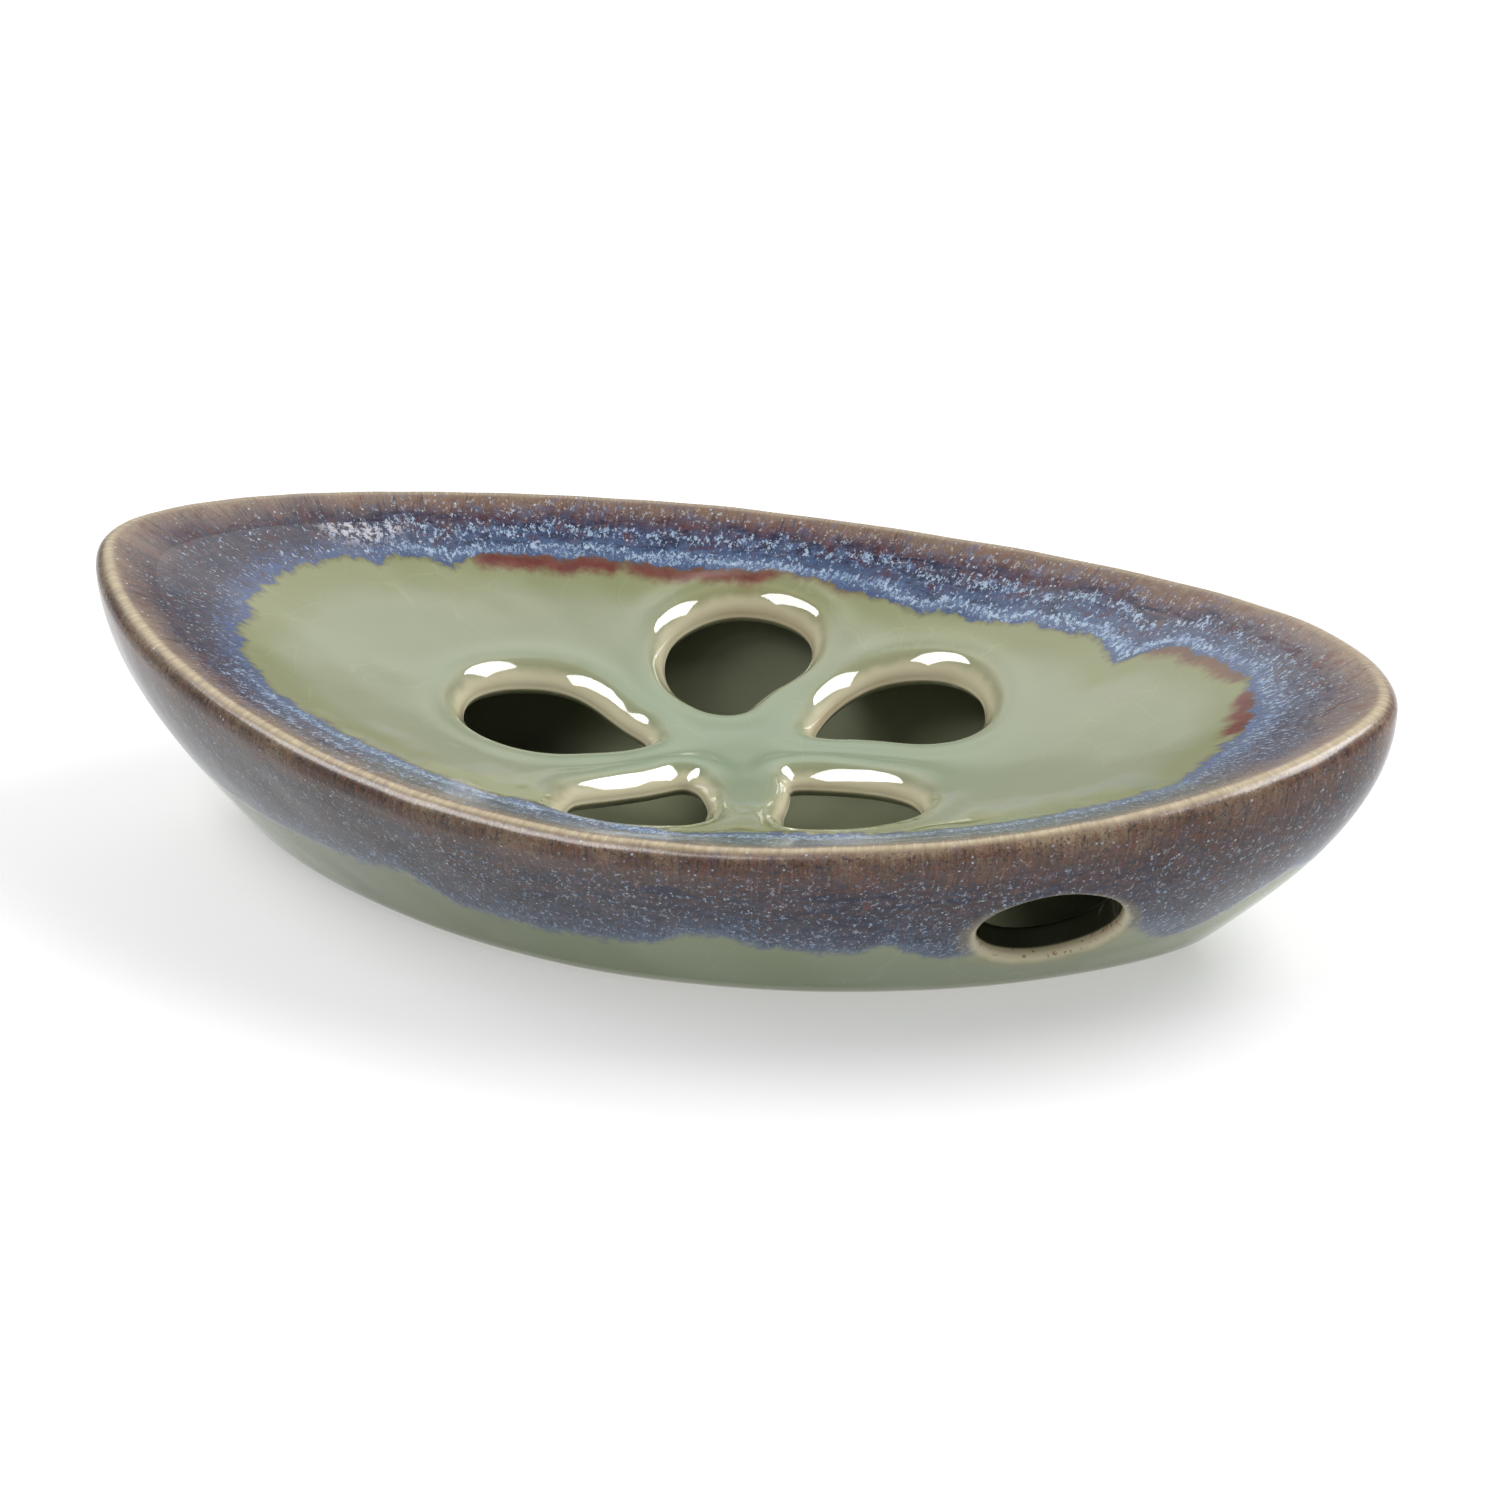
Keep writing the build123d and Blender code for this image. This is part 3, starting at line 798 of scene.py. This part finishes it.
    # the hole: outer lip, tube, inner lip
    def surf(fn, r2, gi, gp):
        near = np.array([np.argmin(np.hypot(*(gp - q).T)) for q in r2])
        return surface_at(r2, fn, gi[near])
    prev = lip_o
    steps = 8
    for i in range(1, steps + 1):
        a = i / steps * math.pi / 2
        r2 = circle * (rad + HOLE_LIP_A * (1 - math.sin(a)))[:, None]
        p3, par = surf(fn_o, r2, gi_o, gp_o)
        p3 = p3 - A * HOLE_LIP_B * (1 - math.cos(a))
        meas = outer_meas(p3, par, HOLE_LIP_A * (1 - math.sin(a)) - 0.5 * HOLE_LIP_B * (1 - math.cos(a)))
        cur = m.add(p3, **meas)
        m.strip(prev, cur, flip=False)
        prev = cur
    out_tube = p3
    # inner end of the tube
    r2 = circle * rad[:, None]
    pin, _ = surf(fn_i, r2, gi_i, gp_i)
    in_tube = pin + A * HOLE_IN_B
    for f in (0.2, 0.4, 0.6, 0.8, 1.0):
        p = out_tube + (in_tube - out_tube) * f
        # maroon set to 1 here marks the passage for the painted shade in the outer glaze
        cur = m.add(p, lip=-2.4 - 3.0 * f, depth=0.4 + 0.5 * f, s=-18.0, band=10.0, maroon=1.0,
                    crx=p[:, 0], cry=p[:, 1])
        m.strip(prev, cur, flip=False)
        prev = cur
    for i in range(1, 6):
        a = i / 5 * math.pi / 2
        if i == 5:
            m.strip(prev, lip_i, flip=False)
            break
        r2 = circle * (rad + HOLE_IN_A * (1 - math.cos(a)))[:, None]
        p3, _ = surf(fn_i, r2, gi_i, gp_i)
        p3 = p3 + A * HOLE_IN_B * (1 - math.sin(a))
        # maroon set to 1 here marks the passage for the painted shade in the outer glaze
        cur = m.add(p3, lip=-5.0, depth=0.6, s=-18.0, band=10.0, maroon=1.0, crx=p3[:, 0], cry=p3[:, 1])
        m.strip(prev, cur, flip=False)
        prev = cur
    m.sharp.append(joint_idx)
    return m


HOLE_N = 120
HOLE_LIP_A, HOLE_LIP_B = 1.5, 1.1
HOLE_IN_A, HOLE_IN_B = 0.8, 0.8


# ------------------------------------------------------------- the slip seam
def seam_piece():
    """The band of slip in the joint, squeezed out in an uneven bead below the plate."""
    m = Mesh()
    out_top = np.stack(joint_ring2(0.0), -1)
    in_top = np.stack(joint_ring2(SLIP), -1)
    a = np.c_[out_top, top_z(out_top[:, 0], out_top[:, 1]) - 0.35]
    b = np.c_[in_top, top_z(in_top[:, 0], in_top[:, 1]) - 0.35]
    lo_o, lo_i = under_ring(0.0), under_ring(SLIP)
    rows = [a, b]
    for f in (0.33, 0.66, 1.0):
        rows.append(b + (lo_i - b) * f)
    k = np.arange(COLS)
    bead = 0.75 + 0.25 * np.sin(k * 0.29) * np.sin(k * 0.113 + 1.0) + 0.15 * np.sin(k * 0.71 + 0.4)
    bead = smooth_ring(bead, 2.0)
    inward = -np.stack([NX, NY, np.zeros(COLS)], -1)
    for ang in (20, 60, 100, 140):
        t = math.radians(ang)
        p = lo_i + inward * (bead * 0.9 * math.sin(t))[:, None]
        p[:, 2] -= bead * (1 - math.cos(t)) * 0.6
        rows.append(p)
    low = lo_o.copy()
    low[:, 2] -= bead * 1.3
    # keep the bead's foot on the wall
    inner = inner_ring(np.clip((low[:, 2] - FLOOR) / (top_z(*joint_ring2()) - FLOOR), 0, 1))
    low = inner + inward * 0.02
    rows.append(low)
    for f in (0.5, 1.0):
        rows.append(low + (lo_o + inward * 0.02 - low) * f)
    rows.append(a + (lo_o - a) * 0.5 + inward * 0.02)
    ids = [m.add(r, depth=0.8, band=20.0, s=20.0, lip=-6.0) for r in rows]
    for i in range(len(ids)):
        m.strip(ids[i], ids[(i + 1) % len(ids)], flip=True)
    m.sharp += [ids[0], ids[1]]
    return m


# ------------------------------------------------------------------ materials
def lin(r, g, b):
    """A colour given as 0-255 screen values, in the linear form the shaders use."""
    def one(c):
        c /= 255.0
        return c / 12.92 if c <= 0.04045 else ((c + 0.055) / 1.055) ** 2.4
    return (one(r), one(g), one(b), 1.0)


class Nodes:
    def __init__(self, name):
        self.mat = bpy.data.materials.new(name)
        self.mat.use_nodes = True
        self.tree = self.mat.node_tree
        self.bsdf = self.tree.nodes["Principled BSDF"]
        self.bsdf.inputs["IOR"].default_value = 1.5

    def put(self, socket, value):
        if isinstance(value, bpy.types.NodeSocket):
            self.tree.links.new(value, socket)
        else:
            socket.default_value = value

    def math(self, op, a, b=None, clamp=False):
        n = self.tree.nodes.new("ShaderNodeMath")
        n.operation = op
        n.use_clamp = clamp
        self.put(n.inputs[0], a)
        if b is not None:
            self.put(n.inputs[1], b)
        return n.outputs[0]

    def add(self, a, b):
        return self.math("ADD", a, b)

    def mul(self, a, b):
        return self.math("MULTIPLY", a, b)

    def attr(self, name):
        n = self.tree.nodes.new("ShaderNodeAttribute")
        n.attribute_name = name
        return n.outputs["Fac"]

    def vec(self, x, y, z):
        n = self.tree.nodes.new("ShaderNodeCombineXYZ")
        for k, v in enumerate((x, y, z)):
            self.put(n.inputs[k], v)
        return n.outputs[0]

    def place(self):
        """Object coordinates in millimetres."""
        c = self.tree.nodes.new("ShaderNodeTexCoord")
        n = self.tree.nodes.new("ShaderNodeVectorMath")
        n.operation = "SCALE"
        self.tree.links.new(c.outputs["Object"], n.inputs[0])
        n.inputs["Scale"].default_value = 1000.0
        return n.outputs[0]

    def warp(self, vec, scale, amount):
        """The same coordinates, pushed about by a soft noise."""
        n = self.tree.nodes.new("ShaderNodeTexNoise")
        self.put(n.inputs["Vector"], vec)
        n.inputs["Scale"].default_value = scale
        n.inputs["Detail"].default_value = 2.0
        m = self.tree.nodes.new("ShaderNodeVectorMath")
        m.operation = "MULTIPLY_ADD"
        self.tree.links.new(n.outputs["Color"], m.inputs[0])
        m.inputs[1].default_value = (amount, amount, amount)
        self.put(m.inputs[2], vec)
        return m.outputs[0]

    def noise(self, vec, scale, detail=2.0, rough=0.5, distortion=0.0):
        n = self.tree.nodes.new("ShaderNodeTexNoise")
        self.put(n.inputs["Vector"], vec)
        n.inputs["Scale"].default_value = scale
        n.inputs["Detail"].default_value = detail
        n.inputs["Roughness"].default_value = rough
        n.inputs["Distortion"].default_value = distortion
        return n.outputs["Fac"]

    def cells(self, vec, scale, feature="F1"):
        n = self.tree.nodes.new("ShaderNodeTexVoronoi")
        n.feature = feature
        self.put(n.inputs["Vector"], vec)
        n.inputs["Scale"].default_value = scale
        return n.outputs["Distance"]

    def step(self, x, lo, hi):
        n = self.tree.nodes.new("ShaderNodeMapRange")
        n.interpolation_type = "SMOOTHSTEP"
        self.put(n.inputs["Value"], x)
        n.inputs["From Min"].default_value = lo
        n.inputs["From Max"].default_value = hi
        return n.outputs["Result"]

    def mix(self, f, a, b, mode="MIX"):
        n = self.tree.nodes.new("ShaderNodeMix")
        n.data_type = "RGBA"
        n.blend_type = mode
        self.put(n.inputs["Factor"], f)
        self.put([i for i in n.inputs if i.name == "A" and i.type == "RGBA"][0], a)
        self.put([i for i in n.inputs if i.name == "B" and i.type == "RGBA"][0], b)
        return [o for o in n.outputs if o.type == "RGBA"][0]

    def ramp(self, x, stops):
        n = self.tree.nodes.new("ShaderNodeValToRGB")
        n.color_ramp.interpolation = "EASE"
        el = n.color_ramp.elements
        while len(el) < len(stops):
            el.new(0.5)
        for e, (p, c) in zip(el, stops):
            e.position = p
            e.color = c if len(c) == 4 else lin(*c)
        self.put(n.inputs["Fac"], x)
        return n.outputs["Color"]

    def curve(self, x, stops):
        """A number read off a row of (place, value) pairs."""
        return self.ramp(x, [(p, (v, v, v, 1.0)) for p, v in stops])

    def centred(self, x, amount):
        """A noise moved to swing about zero, and scaled."""
        return self.mul(self.add(x, -0.5), amount)


def glaze_material(name, outside):
    """Two glazes: a blue and rust one run down from the rim over a plain green one."""
    g = Nodes(name)
    s, t, band = g.attr("s"), g.attr("t"), g.attr("band")
    crx, cry = g.attr("crx"), g.attr("cry")
    lip, pool, inside_pot = g.attr("lip"), g.attr("pool"), g.attr("depth")
    p = g.place()
    streak = g.vec(crx, cry, g.mul(s, 0.16))
    even = g.vec(crx, cry, s)
    along = g.vec(g.mul(crx, 0.34), g.mul(cry, 0.34), s)
    outer = g.step(s, -0.6, -1.6)
    end = g.step(g.math("ABSOLUTE", crx), 44.0, 68.0)

    # the run glaze's edge: drips, then a finer ragged line; softer down the outside
    edge = g.add(band, g.centred(g.noise(streak, 0.22, 2.0, 0.6), 3.2))
    edge = g.add(edge, g.centred(g.noise(even, 1.0, 2.0, 0.65), 1.6))
    edge = g.add(edge, g.mul(g.centred(g.noise(even, 0.48, 2.0, 0.6), 2.6), g.add(1.0, g.mul(g.attr("maroon"), -1.0))))
    run = g.step(g.mul(edge, g.add(1.0, g.mul(outer, -0.80))), 0.24, -0.30)

    # how far down the run, with the colours blown about
    tt = g.add(t, g.centred(g.noise(even, 0.16, 2.0, 0.6), 0.34))
    tt = g.add(tt, g.centred(g.noise(streak, 1.5, 2.0, 0.7), 0.20))
    tt = g.add(tt, g.centred(g.noise(even, 2.4, 2.0, 0.7), 0.20))

    top_run = g.ramp(tt, [(0.0, (128, 112, 92)), (0.06, (120, 101, 86)), (0.16, (112, 94, 84)),
                          (0.28, (88, 72, 74)), (0.42, (64, 60, 76)), (0.56, (48, 58, 88)),
                          (0.72, (62, 82, 114)), (0.88, (78, 98, 128)), (1.0, (66, 82, 112))])
    end_run = g.ramp(tt, [(0.0, (148, 132, 113)), (0.10, (138, 122, 109)), (0.26, (116, 106, 103)),
                          (0.44, (91, 88, 96)), (0.62, (80, 82, 94)), (0.80, (84, 90, 106)),
                          (1.0, (90, 98, 114))])
    end_run = g.mix(g.mul(g.step(crx, -40.0, -60.0), g.curve(tt, [(0.0, 0.12), (0.2, 0.38), (0.45, 0.74), (0.8, 0.72), (1.0, 0.4)])),
                    end_run, lin(48, 44, 54))
    side_run = g.ramp(tt, [(0.0, (146, 130, 108)), (0.06, (122, 104, 86)), (0.15, (92, 72, 60)),
                           (0.28, (70, 58, 54)), (0.46, (56, 50, 54)), (0.64, (52, 52, 62)),
                           (0.82, (56, 64, 82)), (1.0, (72, 90, 116))])
    col = g.mix(end, top_run, end_run)
    col = g.mix(outer, col, side_run)

    # rust-red patches and streaks
    patch = g.noise(even, 0.42, 3.0, 0.66, 0.4)
    rust = g.mul(g.step(patch, 0.54, 0.66), g.curve(t, [(0.0, 0.0), (0.10, 0.5), (0.3, 0.85), (0.62, 0.7), (0.8, 0.0)]))
    col = g.mix(g.mul(rust, 0.62), col, lin(98, 58, 50))
    fine = g.noise(g.vec(crx, cry, g.mul(s, 0.07)), 2.6, 2.0, 0.75)
    col = g.mix(g.mul(g.step(fine, 0.54, 0.70), g.curve(t, [(0.0, 0.2), (0.1, 0.7), (0.4, 0.35), (0.7, 0.1)])),
                col, lin(138, 92, 74))
    col = g.mix(g.mul(g.step(fine, 0.44, 0.30), g.curve(t, [(0.0, 0.1), (0.12, 0.6), (0.5, 0.5), (0.9, 0.2)])),
                col, lin(48, 42, 46))

    grain = g.noise(even, 1.9, 2.0, 0.8)
    grainy = g.add(0.25, g.mul(outer, 0.45))
    col = g.mix(g.mul(g.step(grain, 0.54, 0.66), grainy), col, lin(104, 66, 58))
    col = g.mix(g.mul(g.step(grain, 0.46, 0.34), grainy), col, lin(40, 40, 52))

    # dark pools of navy
    pools = g.noise(along, 0.62, 3.0, 0.64, 0.5)
    navy = g.curve(t, [(0.2, 0.0), (0.4, 0.85), (0.7, 0.7), (0.95, 0.25)])
    col = g.mix(g.mul(g.mul(g.step(pools, 0.50, 0.60), navy), g.add(1.0, g.mul(end, -0.5))),
                col, lin(32, 34, 56))

    plum = g.curve(t, [(0.16, 0.0), (0.34, 0.8), (0.72, 0.7), (0.9, 0.0)])
    col = g.mix(g.mul(g.step(pools, 0.45, 0.36), g.mul(plum, g.add(0.85, g.mul(outer, -0.4)))), col, lin(68, 40, 48))

    # pale flecks in rows, thickest towards the lower edge
    rows_in = g.curve(tt, [(0.0, 0.08), (0.10, 0.42), (0.24, 0.56), (0.36, 0.20), (0.50, 0.82),
                           (0.60, 0.55), (0.70, 0.22), (0.83, 1.0), (0.94, 0.70), (1.0, 0.3)])
    rows_out = g.curve(tt, [(0.0, 0.0), (0.15, 0.25), (0.35, 0.42), (0.6, 0.40), (0.8, 0.42), (0.94, 0.58), (1.0, 0.5)])
    rows_in = g.mix(g.mul(end, 0.75), rows_in, g.curve(tt, [(0.0, 0.05), (0.2, 0.30), (0.5, 0.42), (0.85, 0.66), (1.0, 0.5)]))
    rows_in = g.mul(rows_in, g.add(1.0, g.mul(g.step(crx, -52.0, -66.0), -0.45)))
    rows = g.mix(outer, rows_in, rows_out)
    flecks = g.noise(g.vec(crx, cry, g.mul(s, 0.72)), 1.7, 3.0, 0.85, 0.2)
    fleck = g.step(g.add(flecks, g.mul(rows, 0.175)), 0.642, 0.710)
    tint = g.mix(g.step(t, 0.1, 0.5), lin(154, 150, 146), lin(158, 178, 198))
    col = g.mix(g.mul(fleck, g.add(0.90, g.mul(outer, -0.22))), col, tint)
    # blue haze between the flecks
    haze = g.mul(g.step(g.noise(even, 0.65, 3.0, 0.7), 0.46, 0.64), rows)
    col = g.mix(g.mul(haze, g.add(0.60, g.mul(g.math("MAXIMUM", end, outer), -0.25))), col, lin(84, 106, 142))
    # small bright crystals
    crys = g.step(g.cells(even, 0.85), 0.17, 0.08)
    crys = g.mul(crys, g.step(g.noise(even, 0.5, 1.0), 0.50, 0.58))
    col = g.mix(g.mul(crys, 0.8), col, lin(182, 194, 206))
    if not outside:
        # a pale flaked patch on the far side
        away = g.math("SQRT", g.add(g.math("POWER", g.add(crx, 58.0), 2.0), g.math("POWER", g.mul(g.add(s, -5.4), 1.6), 2.0)))
        flake = g.mul(g.step(away, 6.5, 2.5), g.step(g.noise(even, 1.0, 3.0, 0.75), 0.47, 0.56))
        flake = g.mul(flake, g.step(cry, 0.0, 4.0))
        col = g.mix(g.mul(flake, 0.85), col, lin(188, 186, 192))

    # plain green below it
    soft = g.noise(p, 0.045, 2.0)
    green = g.mix(g.step(pool, 0.30, 0.95), lin(136, 141, 115), lin(120, 136, 109))
    green = g.mix(g.mul(g.step(soft, 0.42, 0.66), 0.35), green, lin(139, 144, 117))
    near_run = g.step(g.add(band, g.centred(g.noise(p, 0.16, 2.0), 3.0)), 8.2, 2.6)
    green = g.mix(g.mul(near_run, 0.80), green, lin(126, 130, 90))
    olive = g.mix(g.step(soft, 0.4, 0.65), lin(123, 133, 103), lin(132, 141, 115))
    olive = g.mix(g.mul(g.step(g.attr("foot"), 10.0, 1.5), 0.70), olive, lin(142, 149, 124))
    green = g.mix(outer, green, olive)
    # crackle in the green
    w = g.warp(p, 0.10, 8.0)
    cracks = g.step(g.cells(w, 0.12, "DISTANCE_TO_EDGE"), 0.018, 0.0)
    cracks = g.mul(cracks, g.step(soft, 0.40, 0.60))
    green = g.mix(g.mul(cracks, 0.08), green, lin(186, 192, 166))
    # where the two glazes meet: a dark line, and red where the run is thin
    # the maroon measure; along the side hole's passage it is 1 and masks the painted shade there
    thin_run_and_passage_shade = g.attr("maroon")
    red = g.mul(g.step(g.add(edge, g.mul(g.add(thin_run_and_passage_shade, -1.0), -3.0)), 3.6, 1.4), thin_run_and_passage_shade)
    green = g.mix(g.mul(red, 0.94), green, g.mix(g.step(patch, 0.35, 0.65), lin(92, 34, 36), lin(108, 52, 48)))
    line = g.mul(g.step(edge, 0.95, 0.15), g.add(0.45, g.mul(outer, -0.35)))
    green = g.mix(line, green, lin(92, 84, 70))
    col = g.mix(run, green, col)
    blue_edge = g.mul(g.step(edge, -1.5, -0.3), run)
    col = g.mix(g.mul(blue_edge, g.add(0.34, g.mul(outer, 0.26))), col, lin(66, 86, 122))
    end_blue = g.mul(g.mul(g.step(edge, -4.6, -1.0), run), g.mul(end, g.add(1.0, g.mul(outer, -1.0))))
    end_blue = g.mul(end_blue, g.step(g.noise(even, 1.1, 2.0, 0.7), 0.38, 0.62))
    col = g.mix(g.mul(end_blue, 0.58), col, lin(72, 92, 138))

    # the glaze breaks pale and tan where it is thin: over the crest and round every opening
    # painted highlight: the crest's pale colour is the thin glaze's own, made lighter and kept strongest on the near
    # side to stand in for the crest's highlight
    thin_glaze_and_highlight = g.step(g.math("ABSOLUTE", g.add(s, 0.25)), 0.95, 0.10)
    thin_glaze_and_highlight = g.mul(thin_glaze_and_highlight, g.add(1.0, g.mul(g.step(cry, -12.0, 22.0), -0.55)))
    col = g.mix(g.mul(thin_glaze_and_highlight, g.mul(g.noise(streak, 1.3, 2.0, 0.7), 1.35)), col, lin(188, 174, 144))
    lipn = g.add(lip, g.centred(g.noise(p, 0.35, 2.0), 0.9))
    halo = g.mul(g.step(lipn, 3.0, 1.4), 0.30)
    col = g.mix(halo, col, lin(160, 150, 110))
    cream = g.step(lipn, 1.35, -0.1)
    col = g.mix(g.mul(cream, 0.85), col, lin(206, 198, 168))
    toast = g.mul(g.step(lipn, 0.4, -0.8), g.step(soft, 0.46, 0.62))
    col = g.mix(g.mul(toast, 0.30), col, lin(160, 130, 96))
    if outside:
        # painted shade: the outer wall darkened towards the left end, but not round the side hole
        away = g.mul(g.mul(g.step(crx, 12.0, -40.0), outer), g.step(lip, 1.5, 4.0))
        col = g.mix(g.mul(away, 0.26), col, lin(60, 60, 53))
        speck = g.mul(g.step(g.noise(p, 1.3, 3.0, 0.7), 0.58, 0.66), g.step(lip, 0.9, -0.3))
        col = g.mix(g.mul(speck, 0.78), col, lin(122, 76, 44))
    # inside the chamber
    dark = g.mix(g.step(soft, 0.4, 0.65), lin(112, 116, 91), lin(126, 130, 105))
    below = g.step(lip, -1.2, -2.6)
    col = g.mix(g.math("MAXIMUM", below, g.step(inside_pot, 0.5, 1.0)), col, dark)
    if outside:
        # painted shade: the passage through the wall darkened as though unlit
        col = g.mix(g.mul(thin_run_and_passage_shade, below), col, lin(46, 48, 35))
    rough = g.add(0.055, g.mul(run, g.mul(fine, 0.20)))
    rough = g.add(rough, g.mul(g.step(g.math("ABSOLUTE", g.add(s, 0.3)), 3.0, 0.6), 0.10))
    if outside:
        bare = g.step(g.attr("foot"), 0.05, -0.30)
        clay = g.mix(g.step(g.noise(p, 0.9, 3.0, 0.7), 0.35, 0.65), lin(168, 148, 122), lin(142, 122, 98))
        col = g.mix(bare, col, clay)
        rough = g.add(rough, g.mul(bare, 0.75))
    g.put(g.bsdf.inputs["Base Color"], col)
    g.put(g.bsdf.inputs["Roughness"], rough)
    if outside:
        g.bsdf.inputs["Specular IOR Level"].default_value = 0.24

    # the surface: slow ripples everywhere, a fine unevenness in the run glaze
    over = g.step(band, 0.9, -0.7)
    height = g.add(g.mul(g.noise(p, 0.11, 1.0), 3.2), g.mul(over, g.add(0.5, g.mul(g.noise(even, 1.5, 2.0, 0.65), g.add(0.50, g.mul(outer, -0.25))))))
    b = g.tree.nodes.new("ShaderNodeBump")
    b.inputs["Strength"].default_value = 0.75
    b.inputs["Distance"].default_value = 0.0001
    g.put(b.inputs["Height"], height)
    g.tree.links.new(b.outputs["Normal"], g.bsdf.inputs["Normal"])
    return g.mat


def slip_material():
    g = Nodes("fired_slip")
    p = g.place()
    col = g.mix(g.step(g.noise(p, 0.8, 4.0, 0.7), 0.35, 0.65), lin(170, 152, 124), lin(142, 122, 98))
    g.put(g.bsdf.inputs["Base Color"], col)
    g.bsdf.inputs["Roughness"].default_value = 0.7
    b = g.tree.nodes.new("ShaderNodeBump")
    b.inputs["Strength"].default_value = 0.6
    b.inputs["Distance"].default_value = 0.0001
    g.put(b.inputs["Height"], g.noise(p, 1.6, 3.0, 0.6))
    g.tree.links.new(b.outputs["Normal"], g.bsdf.inputs["Normal"])
    return g.mat


# --------------------------------------------------------------------- pieces
plate = plate_piece().build("pierced_deck_glazed", DEFAULTS)
bowl = make_bowl().build("lower_bowl_glazed", DEFAULTS)
seam = seam_piece().build("slip_seam_fired", DEFAULTS)

for ob, node, slot in ((plate, "pierced_deck", "glazed_top"), (bowl, "lower_bowl", "glazed_outer"),
                       (seam, "slip_seam", "slip")):
    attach(ob, "root")
    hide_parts(node)

plate.data.materials.append(glaze_material("glaze_top", False))
bowl.data.materials.append(glaze_material("glaze_outer", True))
seam.data.materials.append(slip_material())

# ------------------------------------------------------- floor, light, camera
def floor_piece():
    me = bpy.data.meshes.new("floor")
    s = 3.0
    me.from_pydata([(-s, -s, 0), (s, -s, 0), (s, s, 0), (-s, s, 0)], [], [(0, 1, 2, 3)])
    ob = bpy.data.objects.new("floor", me)
    bpy.context.scene.collection.objects.link(ob)
    g = Nodes("floor")
    g.bsdf.inputs["Base Color"].default_value = (0.58, 0.58, 0.58, 1)
    g.bsdf.inputs["Roughness"].default_value = 0.8
    g.bsdf.inputs["Specular IOR Level"].default_value = 0.1
    g.bsdf.inputs["Emission Color"].default_value = (1, 1, 1, 1)
    g.bsdf.inputs["Emission Strength"].default_value = 0.42
    me.materials.append(g.mat)
    return ob


floor_piece()

def studio_world():
    """A dim room with one softly lit stretch of wall behind the piece."""
    world = bpy.data.worlds.new("studio")
    bpy.context.scene.world = world
    world.use_nodes = True
    tree = world.node_tree
    back = tree.nodes["Background"]
    back.inputs["Color"].default_value = (1, 1, 1, 1)

    def node(op, a, b=None):
        n = tree.nodes.new("ShaderNodeMath")
        n.operation = op
        for k, v in enumerate((a, b)):
            if isinstance(v, bpy.types.NodeSocket):
                tree.links.new(v, n.inputs[k])
            elif v is not None:
                n.inputs[k].default_value = v
        return n.outputs[0]

    def ease(v, lo, hi):
        n = tree.nodes.new("ShaderNodeMapRange")
        n.interpolation_type = "SMOOTHSTEP"
        tree.links.new(v, n.inputs["Value"])
        n.inputs["From Min"].default_value = lo
        n.inputs["From Max"].default_value = hi
        return n.outputs["Result"]

    way = tree.nodes.new("ShaderNodeTexCoord")
    xyz = tree.nodes.new("ShaderNodeSeparateXYZ")
    tree.links.new(way.outputs["Generated"], xyz.inputs[0])
    x, y, z = xyz.outputs
    far = node("ADD", node("MULTIPLY", x, -0.14), node("MULTIPLY", y, 0.99))
    zone = node("MULTIPLY", ease(z, 0.22, 0.60), ease(z, 0.92, 0.76))
    zone = node("MULTIPLY", zone, ease(far, 0.10, 0.62))
    tree.links.new(node("ADD", node("MULTIPLY", zone, 1.25), 0.30), back.inputs["Strength"])


studio_world()


def area_light(name, az, el, dist, size, radiance, aim=(0, 0, 0.02)):
    """A soft box: az is measured from the far side (+Y) round towards +X."""
    a, e = math.radians(az), math.radians(el)
    pos = Vector((math.sin(a) * math.cos(e), math.cos(a) * math.cos(e), math.sin(e))) * dist
    d = bpy.data.lights.new(name, "AREA")
    d.shape = "RECTANGLE"
    d.size, d.size_y = size
    d.energy = radiance * math.pi * size[0] * size[1]
    o = bpy.data.objects.new(name, d)
    o.location = pos
    o.rotation_euler = (Vector(aim) - pos).to_track_quat("-Z", "Y").to_euler()
    bpy.context.scene.collection.objects.link(o)
    return o


area_light("box_right", 64, 55, 0.85, (0.62, 0.36), 7.2)
area_light("box_left", -122, 56, 0.85, (0.74, 0.32), 4.8)
# the bright faces of the two boxes, as the glaze mirrors them
for n, az, el, size in (("face_right", 64, 55, (0.62, 0.42)), ("face_left", -122, 56, (0.74, 0.33))):
    o = area_light(n, az, el, 0.86, size, 15.0)
    o.visible_diffuse = False
AZ, EL, DIST, PX_PER_MM = 18.383, 25.82, 0.7, 8.829
a, e = math.radians(AZ), math.radians(EL)
toward = Vector((math.sin(a) * math.cos(e), -math.cos(a) * math.cos(e), math.sin(e)))
target = Vector((0.008873, -0.019346, 0.0270))
cam_data = bpy.data.cameras.new("camera")
cam_data.sensor_fit = "HORIZONTAL"
cam_data.sensor_width = 36.0
cam_data.lens = PX_PER_MM * 700.0 / 1500.0 * 36.0
cam_data.clip_end = 20
cam = bpy.data.objects.new("camera", cam_data)
cam.location = target + toward * DIST
cam.rotation_euler = (-toward).to_track_quat("-Z", "Y").to_euler()
bpy.context.scene.collection.objects.link(cam)
bpy.context.scene.camera = cam
bpy.context.scene.view_settings.view_transform = "Standard"
